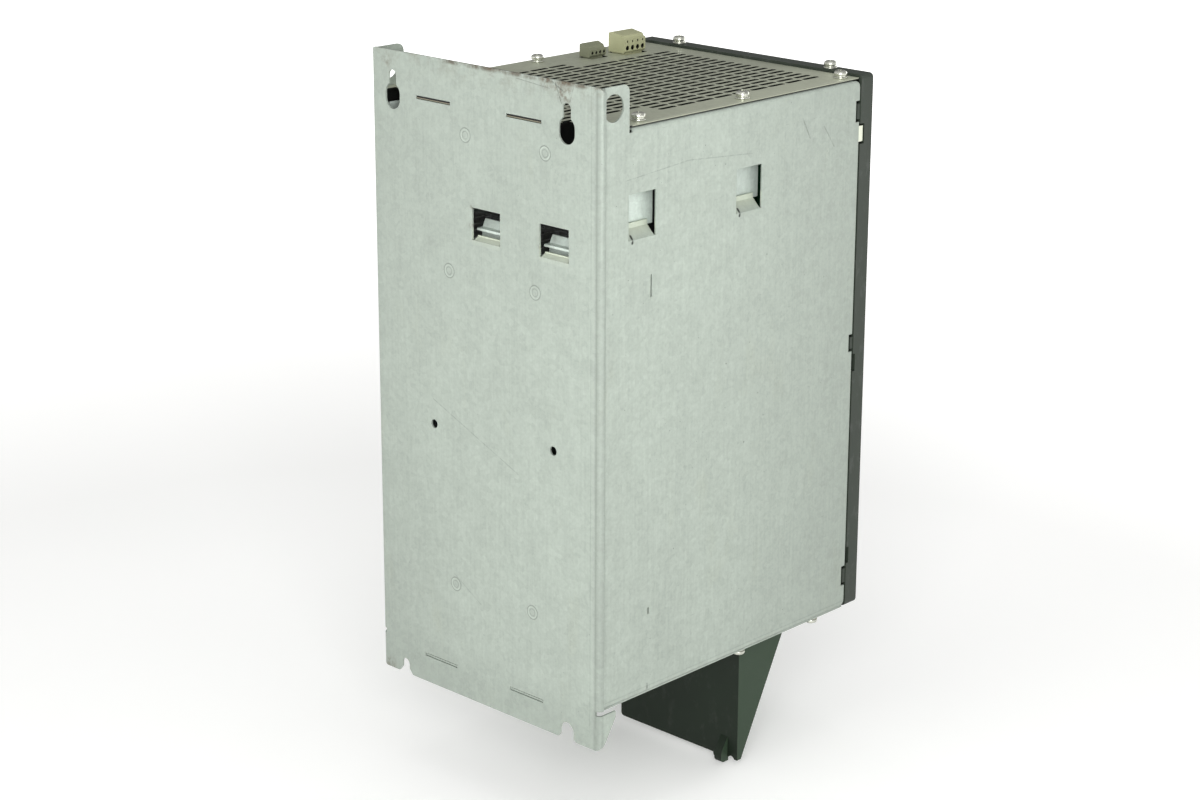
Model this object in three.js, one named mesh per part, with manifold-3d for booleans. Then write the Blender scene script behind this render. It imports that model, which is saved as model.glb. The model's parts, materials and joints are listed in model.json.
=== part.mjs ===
// Wall-mounted servo drive: galvanised sheet chassis, black moulded front cover, top air grille,
// pluggable connectors, fan-cooled heatsink and the boards that it holds.
// Units are millimetres. +Z is up, the front faces -Y, and the wall lies at y = 0 behind the back plate.

import * as THREE from 'three';
import { mergeVertices } from 'three/addons/utils/BufferGeometryUtils.js';
import Module from 'manifold-3d';

const wasm = await Module();
wasm.setup();

// ---------------------------------------------------------------- driving dimensions

const GAP = 0.3;
const SHEET = 1.2;
const PLATE_SHEET = 1.5;
const PLATE_WIDTH = 204.6;
const PLATE_TOP = 401.7;
const PLATE_BOTTOM = -25.6;
const PLATE_BEND = 3.8;
const PLATE_FLANGE = 4.1;
const LEG_DEPTH = 15;
const BOX_HEIGHT = 375;
const CHASSIS_DEPTH = 248.7;
const OVERALL_DEPTH = 262;

const SIDE_X = PLATE_WIDTH / 2 - PLATE_SHEET - GAP;
const SIDE_INNER = SIDE_X - SHEET;
const PANEL_X = SIDE_X - 1.5;
const PANEL_REAR = -PLATE_SHEET - 1.8;
const LID_UNDER = BOX_HEIGHT - SHEET;
const SIDE_TOP = LID_UNDER - GAP;
const SIDE_BOTTOM = SHEET + GAP;
const SIDE_FLANGE = 15;

const EAR_TOP = 401;
const EAR_DEPTH = 26;
const EAR_CORNER = 5;
const EAR_HOLE = { y: -12.4, z: 387.8, radius: 8.6 };

const KEYHOLES_X = [82, -73.2];
const KEYHOLE = { slotRadius: 3.5, slotTop: 389, entryRadius: 6.75, entryLow: 370.4, entryHigh: 373.8 };
const NOTCHES = [
  { x: 79.6, width: 7, top: -15.1, flare: 4 },
  { x: -73.4, width: 12, top: -13.7, flare: 2.5 },
];
const TAB_SLOTS = [{ from: 28.8, to: 59.9 }, { from: -51.8, to: -21.3 }];
const TAB_SLOT_TOP_Z = 374.4;
const TAB_SLOT_BOTTOM_Z = -6;
const TAB_SLOT_HEIGHT = 2.2;
const REAR_WINDOWS = [{ from: -15.3, to: 9.8 }, { from: -74.9, to: -49.8 }];
const REAR_WINDOW_Z = [290.2, 311.2];
const PLAIN_HOLES = [[47.5, 160], [-61.4, 167]];
const PLAIN_HOLE_RADIUS = 3;

const SIDE_WINDOWS = [[-50.3, -25.8], [-150.2, -125.4]];
const SIDE_WINDOW_Z = [304, 332.8];
const INNER_WALL_X = 92.6;
const SLITS = [[-46.6, 265.2, 279.6], [-46.6, 55, 59.6]];
const SLIT_WIDTH = 1.3;
const CLIP_NOTCHES = [[345.5, 359.9], [187.1, 199.4], [17.1, 31.5]];
const CLIP_DEPTH = 3.6;
const CATCH = { from: 332, to: 342.6, reach: 4.2, gap: 1.5 };
const COVER_NOTCHES = [[172.7, 185], [33, 44.8]];
const COVER_NOTCH_DEPTH = 2.4;

const AIR_SLOT = { width: 3.9, length: 15.7, pitchX: 7.36, pitchY: 17.5 };
const AIR_FIRST_X = -77.6;
const AIR_FIRST_Y = -224.8;
// Each band of the grille: number of rows, first column and number of columns.
const AIR_BANDS = [
  { rows: 5, first: 0, columns: 19 },
  { rows: 4, first: 0, columns: 21 },
  { rows: 4, first: 2, columns: 17 },
];

const LID_SCREW_X = 91.4;
const LID_SCREWS_Y = [-43.5, -140, -239];
const FLOOR_SCREW_X = 93.2;
const FLOOR_SCREWS_Y = [-145, -222];
const COVER_SCREWS_X = [65.8, -69.9];
const COVER_SCREW_Y = -255;
const SCREW_SHANK = 1.8;
const SCREW_HOLE = 2.2;

const SUPPLY = { x0: 67.4, x1: 83, y0: -221.6, y1: -201, top: 389.5, pitch: 5.08, entry: 1.75 };
const TRIGGER = { x0: 73, x1: 83.6, y0: -188.2, y1: -172.8, top: 385, pitch: 3.81, entry: 1.1 };
const PLUG_FOOT_Z = 362;
const HEADER_FLOOR_Z = 356;
const HEADER_TOP_Z = 372;
const HEADER_WALL = 1.4;

const GUARD = { x0: -88, x1: 21, rear: -152, front: -200.7, bottom: -88.4, toe: 4, wall: 2.5 };
const LUG = { x0: -79.2, x1: -73, reach: 6.5, drop: 2.6, rise: 17, ear: 4.6 };
const POWER_Y = [-178, -160];
const MOTOR_X = [-80, -8];
const MAINS_X = [25, 81];

const FAN = { x: 44, y: -50, side: 80, z0: 6, z1: 31, bore: 37.6, hub: 17, blade: 35.5, blades: 7 };
const FAN_OPENING = 37;

const FRONT_Y = -OVERALL_DEPTH;
const COVER_X = SIDE_X + 0.5;
const COVER_Z = [0.8, 376.8];
const COVER_REAR = -CHASSIS_DEPTH - 0.9;
const COVER_WALL = 2.5;
const FRAME_Y = [-246.6, -245.4];
const BOARD_Y = [-239.6, -238];

const LENS = { x0: -88, x1: -26, z0: 338, z1: 360 };
const KEYS_X = [6, 28, 50];
const KEY = { z: 349, width: 14, height: 10, travel: 1 };
const BAYS = [{ x0: 8, x1: 46 }, { x0: 52, x1: 90 }];
const BAY_Z = [152, 318];
const BAY_DEPTH = 75;
const DOOR = { x0: -88, x1: -8, z0: 238, z1: 318 };
const LOUVRES = { x0: -86, x1: -10, z0: 160, pitch: 12, count: 6, height: 4.5 };
const IO_X = [[-86.2, -10], [10, 86.2]];
const IO_Z = [92, 114];
const IO_POLES = 15;
const ENCODER_Z = [34, 62];
const CLEAR = 0.6;

// ---------------------------------------------------------------- materials

function metal(color, roughness = 0.45) {
  return new THREE.MeshStandardMaterial({ color, roughness, metalness: 0.85 });
}

function plastic(color, roughness = 0.6) {
  return new THREE.MeshStandardMaterial({ color, roughness, metalness: 0 });
}

const galvanised = metal(0xbcc8be);
const innerSheet = metal(0xb4c4c2);
const zincScrew = metal(0xd8dccf, 0.3);
const aluminium = metal(0xc9ccca, 0.4);
const wire = metal(0xa9aeac, 0.35);
const blackCover = plastic(0x3c403c, 0.7);
const blackGuard = plastic(0x252b27, 0.6);
const ivory = plastic(0xc8c8a0, 0.55);
const greyPlug = plastic(0x8c917d, 0.6);
const blackPart = plastic(0x1c1e1d, 0.5);
const greenPlug = plastic(0x3f7a4a, 0.5);
const smokedLens = plastic(0x26221f, 0.1);
const keyRubber = plastic(0x6d736e, 0.8);
const lightCover = plastic(0x9aa09a, 0.6);
const boardGreen = plastic(0x2d5a3a, 0.5);
const capacitorSleeve = plastic(0x27313f, 0.35);
const transformerTape = plastic(0xa98b3a, 0.5);
const moduleCase = plastic(0x4b4f52, 0.5);

// ---------------------------------------------------------------- solids

function solidFrom(geometry) {
  geometry.deleteAttribute('normal');
  geometry.deleteAttribute('uv');
  const merged = mergeVertices(geometry, 1e-4);
  const vertProperties = new Float32Array(merged.attributes.position.array);
  const triVerts = new Uint32Array(merged.index.array);
  return new wasm.Manifold(new wasm.Mesh({ numProp: 3, vertProperties, triVerts }));
}

function block(x0, x1, y0, y1, z0, z1) {
  const geometry = new THREE.BoxGeometry(Math.abs(x1 - x0), Math.abs(y1 - y0), Math.abs(z1 - z0));
  geometry.translate((x0 + x1) / 2, (y0 + y1) / 2, (z0 + z1) / 2);
  return solidFrom(geometry);
}

// Points of an arc, both ends included. Angles are in degrees.
function arc(cx, cy, radius, from, to, steps) {
  const points = [];
  for (let i = 0; i <= steps; i += 1) {
    const angle = THREE.MathUtils.degToRad(from + ((to - from) * i) / steps);
    points.push([cx + radius * Math.cos(angle), cy + radius * Math.sin(angle)]);
  }
  return points;
}

function circle(cx, cy, radius, steps = 16) {
  return arc(cx, cy, radius, 0, 360, steps).slice(0, steps);
}

function rectangle(x0, x1, y0, y1) {
  return [[x0, y0], [x1, y0], [x1, y1], [x0, y1]];
}

function roundedRectangle(x0, x1, y0, y1, radius, steps = 3) {
  return [
    ...arc(x1 - radius, y1 - radius, radius, 0, 90, steps),
    ...arc(x0 + radius, y1 - radius, radius, 90, 180, steps),
    ...arc(x0 + radius, y0 + radius, radius, 180, 270, steps),
    ...arc(x1 - radius, y0 + radius, radius, 270, 360, steps),
  ];
}

// Maps the outline's two axes and the direction of the extrusion to the directions of the assembly.
const AXES = {
  x: new THREE.Matrix4().makeBasis(
    new THREE.Vector3(0, 1, 0),
    new THREE.Vector3(0, 0, 1),
    new THREE.Vector3(1, 0, 0),
  ),
  y: new THREE.Matrix4().makeBasis(
    new THREE.Vector3(1, 0, 0),
    new THREE.Vector3(0, 0, 1),
    new THREE.Vector3(0, -1, 0),
  ),
  z: new THREE.Matrix4(),
};

function prism(outline, from, to, axis) {
  const shape = new THREE.Shape(outline.map(([u, v]) => new THREE.Vector2(u, v)));
  const geometry = new THREE.ExtrudeGeometry(shape, { depth: to - from, bevelEnabled: false });
  geometry.applyMatrix4(AXES[axis]);
  const start = { x: [from, 0, 0], y: [0, to, 0], z: [0, 0, from] };
  geometry.translate(...start[axis]);
  return solidFrom(geometry);
}

function drilled(outline, ends, holes, axis) {
  const from = Math.min(...ends);
  const to = Math.max(...ends);
  return cut(prism(outline, from, to, axis), holes.map((hole) => prism(hole, from - 1, to + 1, axis)));
}

// The outline is in (y, z) and the solid runs between xa and xb.
function alongX(outline, xa, xb, holes = []) {
  return drilled(outline, [xa, xb], holes, 'x');
}

// The outline is in (x, z) and the solid runs between ya and yb.
function alongY(outline, ya, yb, holes = []) {
  return drilled(outline, [ya, yb], holes, 'y');
}

// The outline is in (x, y) and the solid runs between za and zb.
function alongZ(outline, za, zb, holes = []) {
  return drilled(outline, [za, zb], holes, 'z');
}

function joined(solids) {
  return solids.reduce((whole, solid) => whole.add(solid));
}

function cut(whole, tools) {
  return tools.length ? whole.subtract(joined(tools)) : whole;
}

// ---------------------------------------------------------------- the assembly

const drive = new THREE.Group();

function addPiece(name, solid, material) {
  const { vertProperties, triVerts } = solid.getMesh();
  const geometry = new THREE.BufferGeometry();
  geometry.setAttribute('position', new THREE.BufferAttribute(vertProperties, 3));
  geometry.setIndex(new THREE.BufferAttribute(triVerts, 1));
  geometry.computeVertexNormals();
  const mesh = new THREE.Mesh(geometry, material);
  mesh.name = name;
  drive.add(mesh);
}

// ---------------------------------------------------------------- back plate

// A wide entry with round ends, and a narrow slot that leaves it at the top.
function keyhole(x) {
  const k = KEYHOLE;
  const neck = THREE.MathUtils.radToDeg(Math.acos(k.slotRadius / k.entryRadius));
  return [
    ...arc(x, k.slotTop - k.slotRadius, k.slotRadius, 0, 180, 8),
    ...arc(x, k.entryHigh, k.entryRadius, 180 - neck, 180, 5),
    ...arc(x, k.entryLow, k.entryRadius, 180, 360, 12),
    ...arc(x, k.entryHigh, k.entryRadius, 0, neck, 5),
  ];
}

// An open slot in the lower edge, round at its top and flared at its mouth.
function notch({ x, width, top, flare }) {
  const r = width / 2;
  return [
    ...arc(x, top - r, r, 0, 180, 6),
    [x - r, PLATE_BOTTOM + flare],
    [x - r - flare, PLATE_BOTTOM - 1],
    [x + r + flare, PLATE_BOTTOM - 1],
    [x + r, PLATE_BOTTOM + flare],
  ];
}

// Cross-section of the plate with its two return flanges.
function flangedSection(depth) {
  const half = PLATE_WIDTH / 2;
  const inner = PLATE_BEND - PLATE_SHEET;
  const bend = half - PLATE_BEND;
  return [
    [half, -depth],
    ...arc(bend, -PLATE_BEND, PLATE_BEND, 0, 90, 4),
    ...arc(-bend, -PLATE_BEND, PLATE_BEND, 90, 180, 4),
    [-half, -depth],
    [-half + PLATE_SHEET, -depth],
    ...arc(-bend, -PLATE_BEND, inner, 180, 90, 3),
    ...arc(bend, -PLATE_BEND, inner, 90, 0, 3),
    [half - PLATE_SHEET, -depth],
  ];
}

// A tongue of the sheet that stays joined at the window's lower edge, leans inwards and ends upright.
function lancedTongue(outside, edge, lean, bendRise, rise) {
  const tip = outside - lean;
  return [
    [outside, edge - 1],
    [outside, edge],
    [outside - lean * 0.35, edge + bendRise * 0.3],
    [tip, edge + bendRise],
    [tip, edge + rise],
    [tip - SHEET, edge + rise],
    [tip - SHEET, edge + bendRise - 0.5],
    [outside - lean * 0.35 - SHEET * 0.6, edge + bendRise * 0.3 - SHEET * 0.8],
    [outside - SHEET, edge - 1],
  ];
}

function makeBackPlate() {
  const half = PLATE_WIDTH / 2;
  const flat = half - PLATE_BEND;
  const relief = 1.5;
  const upper = alongZ(flangedSection(PLATE_FLANGE), relief, PLATE_TOP);
  const lower = alongZ(flangedSection(LEG_DEPTH), PLATE_BOTTOM, -relief);
  const web = block(-flat, flat, -PLATE_SHEET, 0, -5, 5);
  const legCut = [[-LEG_DEPTH - 1, -4], [-2, PLATE_BOTTOM - 1], [-LEG_DEPTH - 1, PLATE_BOTTOM - 1]];
  const legTaper = alongX(legCut, -half - 1, half + 1);
  const outline = roundedRectangle(-half - 0.01, half + 0.01, PLATE_BOTTOM, PLATE_TOP, 4);
  const holes = [
    ...KEYHOLES_X.map(keyhole),
    ...PLAIN_HOLES.map(([x, z]) => circle(x, z, PLAIN_HOLE_RADIUS)),
  ];
  for (const slot of TAB_SLOTS) {
    for (const z of [TAB_SLOT_TOP_Z, TAB_SLOT_BOTTOM_Z]) {
      holes.push(rectangle(slot.from, slot.to, z - TAB_SLOT_HEIGHT / 2, z + TAB_SLOT_HEIGHT / 2));
    }
  }
  for (const window of REAR_WINDOWS) {
    holes.push(rectangle(window.from, window.to, ...REAR_WINDOW_Z));
  }
  const blank = joined([upper, lower, web]).subtract(legTaper);
  const trimmed = blank.intersect(alongY(outline, -LEG_DEPTH - 1, 1, holes));
  const notched = cut(trimmed, NOTCHES.map((n) => alongY(notch(n), -LEG_DEPTH - 1, 1)));
  const tongues = REAR_WINDOWS.map((window) => {
    const profile = lancedTongue(0, REAR_WINDOW_Z[0], 3.4, 2.2, 2.9);
    return alongX(profile, window.from + 1.5, window.to - 1.5);
  });
  addPiece('back_plate', joined([notched, ...tongues]), galvanised);
}

// ---------------------------------------------------------------- side panels

function makeSidePanel(side, name) {
  const at = (x) => side * x;
  const outline = [
    [PANEL_REAR, SIDE_BOTTOM],
    [PANEL_REAR, EAR_TOP],
    ...arc(-EAR_DEPTH + EAR_CORNER, EAR_TOP - EAR_CORNER, EAR_CORNER, 90, 180, 4),
    [-EAR_DEPTH, SIDE_TOP - 2.6],
    [-EAR_DEPTH - 2.8, SIDE_TOP - 2.6],
    [-EAR_DEPTH - 2.8, SIDE_TOP],
    ...arc(-CHASSIS_DEPTH + 5, SIDE_TOP - 5, 5, 90, 180, 4),
    ...arc(-CHASSIS_DEPTH + 5, SIDE_BOTTOM + 5, 5, 180, 270, 4),
  ];
  const holes = [
    circle(EAR_HOLE.y, EAR_HOLE.z, EAR_HOLE.radius, 24),
    ...SLITS.map(([y, z0, z1]) => rectangle(y - SLIT_WIDTH / 2, y + SLIT_WIDTH / 2, z0, z1)),
    ...SIDE_WINDOWS.map(([y0, y1]) => rectangle(y0, y1, ...SIDE_WINDOW_Z)),
  ];
  const wall = alongX(outline, at(SIDE_INNER), at(SIDE_X), holes);

  const flangeX = [at(SIDE_X - SIDE_FLANGE), at(SIDE_X - SHEET / 2)];
  const flangeY = [-CHASSIS_DEPTH + 6, -EAR_DEPTH - 2.8];
  const topFlange = block(...flangeX, ...flangeY, SIDE_TOP - SHEET, SIDE_TOP);
  const lowFlange = block(...flangeX, ...flangeY, SIDE_BOTTOM, SIDE_BOTTOM + SHEET);

  const bend = 2;
  const cornerAbove = [
    ...arc(at(SIDE_X - bend), SIDE_TOP - bend, bend, side > 0 ? 0 : 180, 90, 3),
    [at(SIDE_X - bend), SIDE_TOP + 1],
    [at(SIDE_X + 1), SIDE_TOP + 1],
    [at(SIDE_X + 1), SIDE_TOP - bend],
  ];
  const cornerBelow = cornerAbove.map(([x, z]) => [x, SIDE_TOP + SIDE_BOTTOM - z]);
  const bends = [
    alongY(cornerAbove, -CHASSIS_DEPTH - 1, -EAR_DEPTH - 2.8),
    alongY(cornerBelow, -CHASSIS_DEPTH - 1, PANEL_REAR + 1),
  ];
  const notches = CLIP_NOTCHES.map(([z0, z1]) => block(
    at(SIDE_INNER - 1), at(SIDE_X + 1), -CHASSIS_DEPTH - 1, -CHASSIS_DEPTH + CLIP_DEPTH, z0, z1,
  ));
  const screwHoles = LID_SCREWS_Y.map((y) => alongZ(
    circle(at(LID_SCREW_X), y, SCREW_HOLE, 8), SIDE_TOP - SHEET - 1, SIDE_TOP + 1,
  ));
  const floorHoles = FLOOR_SCREWS_Y.map((y) => alongZ(
    circle(at(FLOOR_SCREW_X), y, SCREW_HOLE, 8), SIDE_BOTTOM - 1, SIDE_BOTTOM + SHEET + 1,
  ));
  const tongues = SIDE_WINDOWS.map(([y0, y1]) => {
    const profile = lancedTongue(SIDE_X, SIDE_WINDOW_Z[0], 6.2, 6, 9.2).map(([x, z]) => [at(x), z]);
    return alongY(profile, y0 + 1.2, y1 - 1.1);
  });
  const catchTab = block(
    at(SIDE_INNER), at(SIDE_X), -CHASSIS_DEPTH - CATCH.reach, -CHASSIS_DEPTH + 1, CATCH.from, CATCH.to,
  );
  const solid = cut(joined([wall, topFlange, lowFlange]), [...bends, ...notches, ...screwHoles, ...floorHoles]);
  addPiece(name, joined([solid, ...tongues, catchTab]), galvanised);
}

// ---------------------------------------------------------------- lid and floor

function airSlots() {
  const slots = [];
  let row = 0;
  for (const band of AIR_BANDS) {
    for (let r = 0; r < band.rows; r += 1) {
      const y = AIR_FIRST_Y + row * AIR_SLOT.pitchY;
      for (let c = 0; c < band.columns; c += 1) {
        const x = AIR_FIRST_X + (band.first + c) * AIR_SLOT.pitchX;
        slots.push(rectangle(
          x - AIR_SLOT.width / 2, x + AIR_SLOT.width / 2,
          y - AIR_SLOT.length / 2, y + AIR_SLOT.length / 2,
        ));
      }
      row += 1;
    }
  }
  return slots;
}

// Rear tabs of the lid and of the floor reach into the slots of the back plate.
function rearTabs(z0, z1) {
  return TAB_SLOTS.map((slot) => block(slot.from + 0.8, slot.to - 0.8, PANEL_REAR - 1, -0.3, z0, z1));
}

function makeTopGrille() {
  const headRoom = 10;
  const keyholeRelief = 8;
  const outline = [
    [-PANEL_X, -CHASSIS_DEPTH],
    [PANEL_X, -CHASSIS_DEPTH],
    [PANEL_X, -EAR_DEPTH - 1],
    [SIDE_INNER - GAP, -EAR_DEPTH - 1],
    [SIDE_INNER - GAP, -6],
  ];
  for (const x of KEYHOLES_X) {
    outline.push([x + headRoom, PANEL_REAR]);
    outline.push([x + headRoom, PANEL_REAR - keyholeRelief]);
    outline.push([x - headRoom, PANEL_REAR - keyholeRelief]);
    outline.push([x - headRoom, PANEL_REAR]);
  }
  outline.push([-SIDE_INNER + GAP, -6]);
  outline.push([-SIDE_INNER + GAP, -EAR_DEPTH - 1]);
  outline.push([-PANEL_X, -EAR_DEPTH - 1]);
  const holes = airSlots();
  for (const c of [SUPPLY, TRIGGER]) {
    holes.push(rectangle(c.x0 - 1.6, c.x1 + CLEAR, c.y0 - CLEAR, c.y1 + CLEAR));
  }
  for (const side of [1, -1]) {
    for (const y of LID_SCREWS_Y) {
      holes.push(circle(side * LID_SCREW_X, y, SCREW_HOLE, 8));
    }
  }
  const sheet = alongZ(outline, LID_UNDER, BOX_HEIGHT, holes);
  addPiece('top_grille', joined([sheet, ...rearTabs(LID_UNDER, BOX_HEIGHT)]), galvanised);
}

function makeBottomPanel() {
  const lipDrop = TAB_SLOT_BOTTOM_Z - SHEET / 2;
  const holes = [1, -1].map((side) => circle(side * FAN.x, FAN.y, FAN_OPENING, 24));
  for (const [x0, x1] of [MOTOR_X, MAINS_X]) {
    holes.push(rectangle(x0 - CLEAR, x1 + CLEAR, POWER_Y[0] - CLEAR, POWER_Y[1] + CLEAR));
  }
  for (const side of [1, -1]) {
    for (const y of FLOOR_SCREWS_Y) {
      holes.push(circle(side * FLOOR_SCREW_X, y, SCREW_HOLE, 8));
    }
  }
  const sheet = alongZ(rectangle(-PANEL_X, PANEL_X, -CHASSIS_DEPTH, PANEL_REAR), 0, SHEET, holes);
  const lip = block(-64, 64, PANEL_REAR - SHEET, PANEL_REAR, lipDrop, SHEET);
  addPiece('bottom_panel', joined([sheet, lip, ...rearTabs(lipDrop, lipDrop + SHEET)]), galvanised);
}

// ---------------------------------------------------------------- screws

// Pan head screw with its washers, standing on z = 0 with the head above it.
function screwSolid(x, y, z, upward) {
  const profile = [
    [0, -4], [SCREW_SHANK, -4], [SCREW_SHANK, 0.1], [4.6, 0.1], [4.6, 1], [3.8, 1.1],
    [3.8, 2.1], [4.4, 2.2], [4.3, 3.9], [2.7, 5.1], [0, 5.3],
  ];
  const geometry = new THREE.LatheGeometry(profile.map(([r, h]) => new THREE.Vector2(r, h)), 10);
  geometry.rotateX(upward ? Math.PI / 2 : -Math.PI / 2);
  geometry.translate(x, y, z);
  return solidFrom(geometry);
}

function makeScrews() {
  let number = 1;
  for (const side of [1, -1]) {
    for (const y of LID_SCREWS_Y) {
      addPiece(`top_screw_${number}`, screwSolid(side * LID_SCREW_X, y, BOX_HEIGHT, true), zincScrew);
      number += 1;
    }
  }
  COVER_SCREWS_X.forEach((x, i) => {
    addPiece(`cover_screw_${i + 1}`, screwSolid(x, COVER_SCREW_Y, COVER_Z[1], true), zincScrew);
  });
  number = 1;
  for (const side of [1, -1]) {
    for (const y of FLOOR_SCREWS_Y) {
      addPiece(`bottom_screw_${number}`, screwSolid(side * FLOOR_SCREW_X, y, 0, false), zincScrew);
      number += 1;
    }
  }
}

// ---------------------------------------------------------------- connectors on the lid

// A four-pole plug with a wire entry and a release slot for each pole on its -X side; its foot sits in the header.
function plugSolid({ x0, x1, y0, y1, top, pitch, entry }) {
  const under = BOX_HEIGHT + 0.6;
  const brow = top - 3.4;
  const section = [
    [x0 + 1.4, under],
    [x1, under],
    [x1, top - 0.9],
    [x1 - 3, top],
    [x0 + 2.6, top - 1.8],
    [x0 + 1.9, brow],
    [x0, brow - 0.8],
    [x0, under + 1.6],
  ];
  const body = alongY(section, y0, y1);
  const foot = block(x0 + 2, x1 - 2, y0 + 1.5, y1 - 1.5, PLUG_FOOT_Z, BOX_HEIGHT + 2);
  const middle = (y0 + y1) / 2;
  const entries = [];
  for (let pole = 0; pole < 4; pole += 1) {
    const y = middle + (pole - 1.5) * pitch;
    entries.push(alongX(circle(y, under + 1.9 + entry, entry, 12), x0 - 1, x0 + 7));
    entries.push(block(x0 - 1, x0 + 1, y - entry * 0.3, y + entry * 0.3, brow - 3.2, brow - 1.6));
  }
  return cut(body.add(foot), entries);
}

// The socket that receives the plug's foot, open at the top.
function headerSolid({ x0, x1, y0, y1 }) {
  const shell = block(x0, x1, y0, y1, HEADER_FLOOR_Z, HEADER_TOP_Z);
  const well = block(x0 + HEADER_WALL, x1 - HEADER_WALL, y0 + 1.1, y1 - 1.1, PLUG_FOOT_Z - 1, HEADER_TOP_Z + 1);
  return shell.subtract(well);
}

function makeLidConnectors() {
  addPiece('supply_plug', plugSolid(SUPPLY), ivory);
  addPiece('supply_header', headerSolid(SUPPLY), ivory);
  addPiece('trigger_plug', plugSolid(TRIGGER), greyPlug);
  addPiece('trigger_header', headerSolid(TRIGGER), greyPlug);
}

// ---------------------------------------------------------------- power terminals and their guard

function makeTerminalGuard() {
  const g = GUARD;
  const top = -GAP;
  const cheek = [[g.rear, top], [g.front, top], [g.rear - g.toe, g.bottom], [g.rear, g.bottom]];
  const wall = block(g.x0, g.x1, g.rear - g.wall, g.rear, g.bottom, top);
  const rim = block(g.x0, g.x1, g.rear - 6, g.rear, top - g.wall, top);
  const lip = block(g.x0, g.x1, g.rear - g.toe, g.rear, g.bottom, g.bottom + g.wall);
  const cheeks = [alongX(cheek, g.x0, g.x0 + g.wall), alongX(cheek, g.x1 - g.wall, g.x1)];
  const lugRear = g.rear + LUG.reach;
  const lugOutline = [
    [g.rear - 1, g.bottom + LUG.rise],
    [lugRear - 1.5, g.bottom + LUG.rise - 9],
    [lugRear, g.bottom + 4],
    ...arc(lugRear - 3, g.bottom - LUG.drop + 3, 3, 0, -90, 4),
    [g.rear - 1, g.bottom - LUG.drop],
  ];
  const lug = alongX(lugOutline, LUG.x0, LUG.x1);
  const ear = alongY(circle(LUG.x1, g.bottom + LUG.ear - LUG.drop - 0.2, LUG.ear, 20), g.rear - 1, g.rear + 2.6);
  const scallop = alongY(circle(LUG.x0 - 3.2, g.bottom - 1.2, 3.2, 16), g.rear - 8, g.rear + 1);
  const corner = alongY([
    [g.x1 - 2.5, g.bottom],
    ...arc(g.x1 - 2.5, g.bottom + 2.5, 2.5, -90, 0, 4),
    [g.x1 + 1, g.bottom + 2.5],
    [g.x1 + 1, g.bottom - 1],
    [g.x1 - 2.5, g.bottom - 1],
  ], g.rear - 60, g.rear + 1);
  const shell = cut(joined([wall, rim, lip, ...cheeks]), [scallop, corner]);
  addPiece('terminal_guard', joined([shell, lug, ear]), blackGuard);
}

// A fixed terminal body through the floor, and the screw plug that pulls off downwards.
function makePowerTerminal(name, [x0, x1], poles) {
  const [y0, y1] = POWER_Y;
  const wall = 2;
  const shell = block(x0, x1, y0, y1, -12, 14);
  const well = block(x0 + wall, x1 - wall, y0 + wall, y1 - wall, -13, 6);
  const flange = block(x0 - 3, x1 + 3, y0 - 3, y1 + 3, SHEET + GAP, SHEET + GAP + 2);
  addPiece(`${name}_header`, shell.add(flange).subtract(well), blackPart);

  const pitch = (x1 - x0 - 6) / poles;
  const tongue = block(x0 + wall + 0.5, x1 - wall - 0.5, y0 + wall + 0.5, y1 - wall - 0.5, 0, -14);
  const body = block(x0 + 1, x1 - 1, y0 + 1, y1 - 1, -38, -12.6);
  const entries = [];
  for (let pole = 0; pole < poles; pole += 1) {
    const x = x0 + 3 + (pole + 0.5) * pitch;
    entries.push(block(x - pitch * 0.32, x + pitch * 0.32, y0 + 4.5, y1 - 4.5, -39, -34.5));
  }
  addPiece(`${name}_plug`, cut(body.add(tongue), entries), name === 'motor' ? greenPlug : blackPart);
}

// ---------------------------------------------------------------- inner sheets and heatsink

function makeInnerSheets() {
  const outer = INNER_WALL_X;
  for (const side of [1, -1]) {
    const base = SIDE_WINDOW_Z[0];
    const slits = SIDE_WINDOWS.map(([y0]) => rectangle(y0 - 9.4, y0 - 5.4, base - 10, 340));
    const reliefs = SIDE_WINDOWS.map(([y0, y1]) => rectangle(y0 - 9.4, y1 - 6, base - 10, base + 5.4));
    const wall = alongX(rectangle(-170, -6, 20, 366), side * (outer - SHEET), side * outer, [...slits, ...reliefs]);
    addPiece(side > 0 ? 'inner_wall_right' : 'inner_wall_left', wall, innerSheet);
  }
  const opening = rectangle(-62, 62, 96, 264);
  const span = outer - SHEET - GAP;
  addPiece('partition_plate', alongY(rectangle(-span, span, 36, 364), -90, -90 + SHEET, [opening]), blackPart);

  const rail = block(-span, span, -11.8, -10.6, 276, 288);
  const hookProfile = [
    [-10.6, 280], [-10.6, 295.2], [-6.2, 295.2], [-6.2, 296.8], [-11, 296.8],
    [-13.5, 301.5], [-14.7, 301.5], [-12.2, 296.2], [-11.8, 280],
  ];
  const hooks = REAR_WINDOWS.map((window) => alongX(hookProfile, window.from - 1.4, window.to + 2));
  addPiece('cross_rail', joined([rail, ...hooks]), innerSheet);
}

function makeHeatsink() {
  const fins = 15;
  const halfWidth = 90;
  const base = [-88, -79];
  const tip = -15;
  const finWidth = 2.4;
  const pitch = (2 * halfWidth - finWidth) / (fins - 1);
  const outline = [[-halfWidth, base[0]], [halfWidth, base[0]]];
  for (let i = fins - 1; i >= 0; i -= 1) {
    const x = -halfWidth + i * pitch;
    if (i < fins - 1) {
      outline.push([x + finWidth, base[1]]);
    }
    outline.push([x + finWidth, tip]);
    outline.push([x, tip]);
    if (i > 0) {
      outline.push([x, base[1]]);
    }
  }
  addPiece('heatsink', alongZ(outline, 44, 282), aluminium);
}

// ---------------------------------------------------------------- fans

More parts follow.
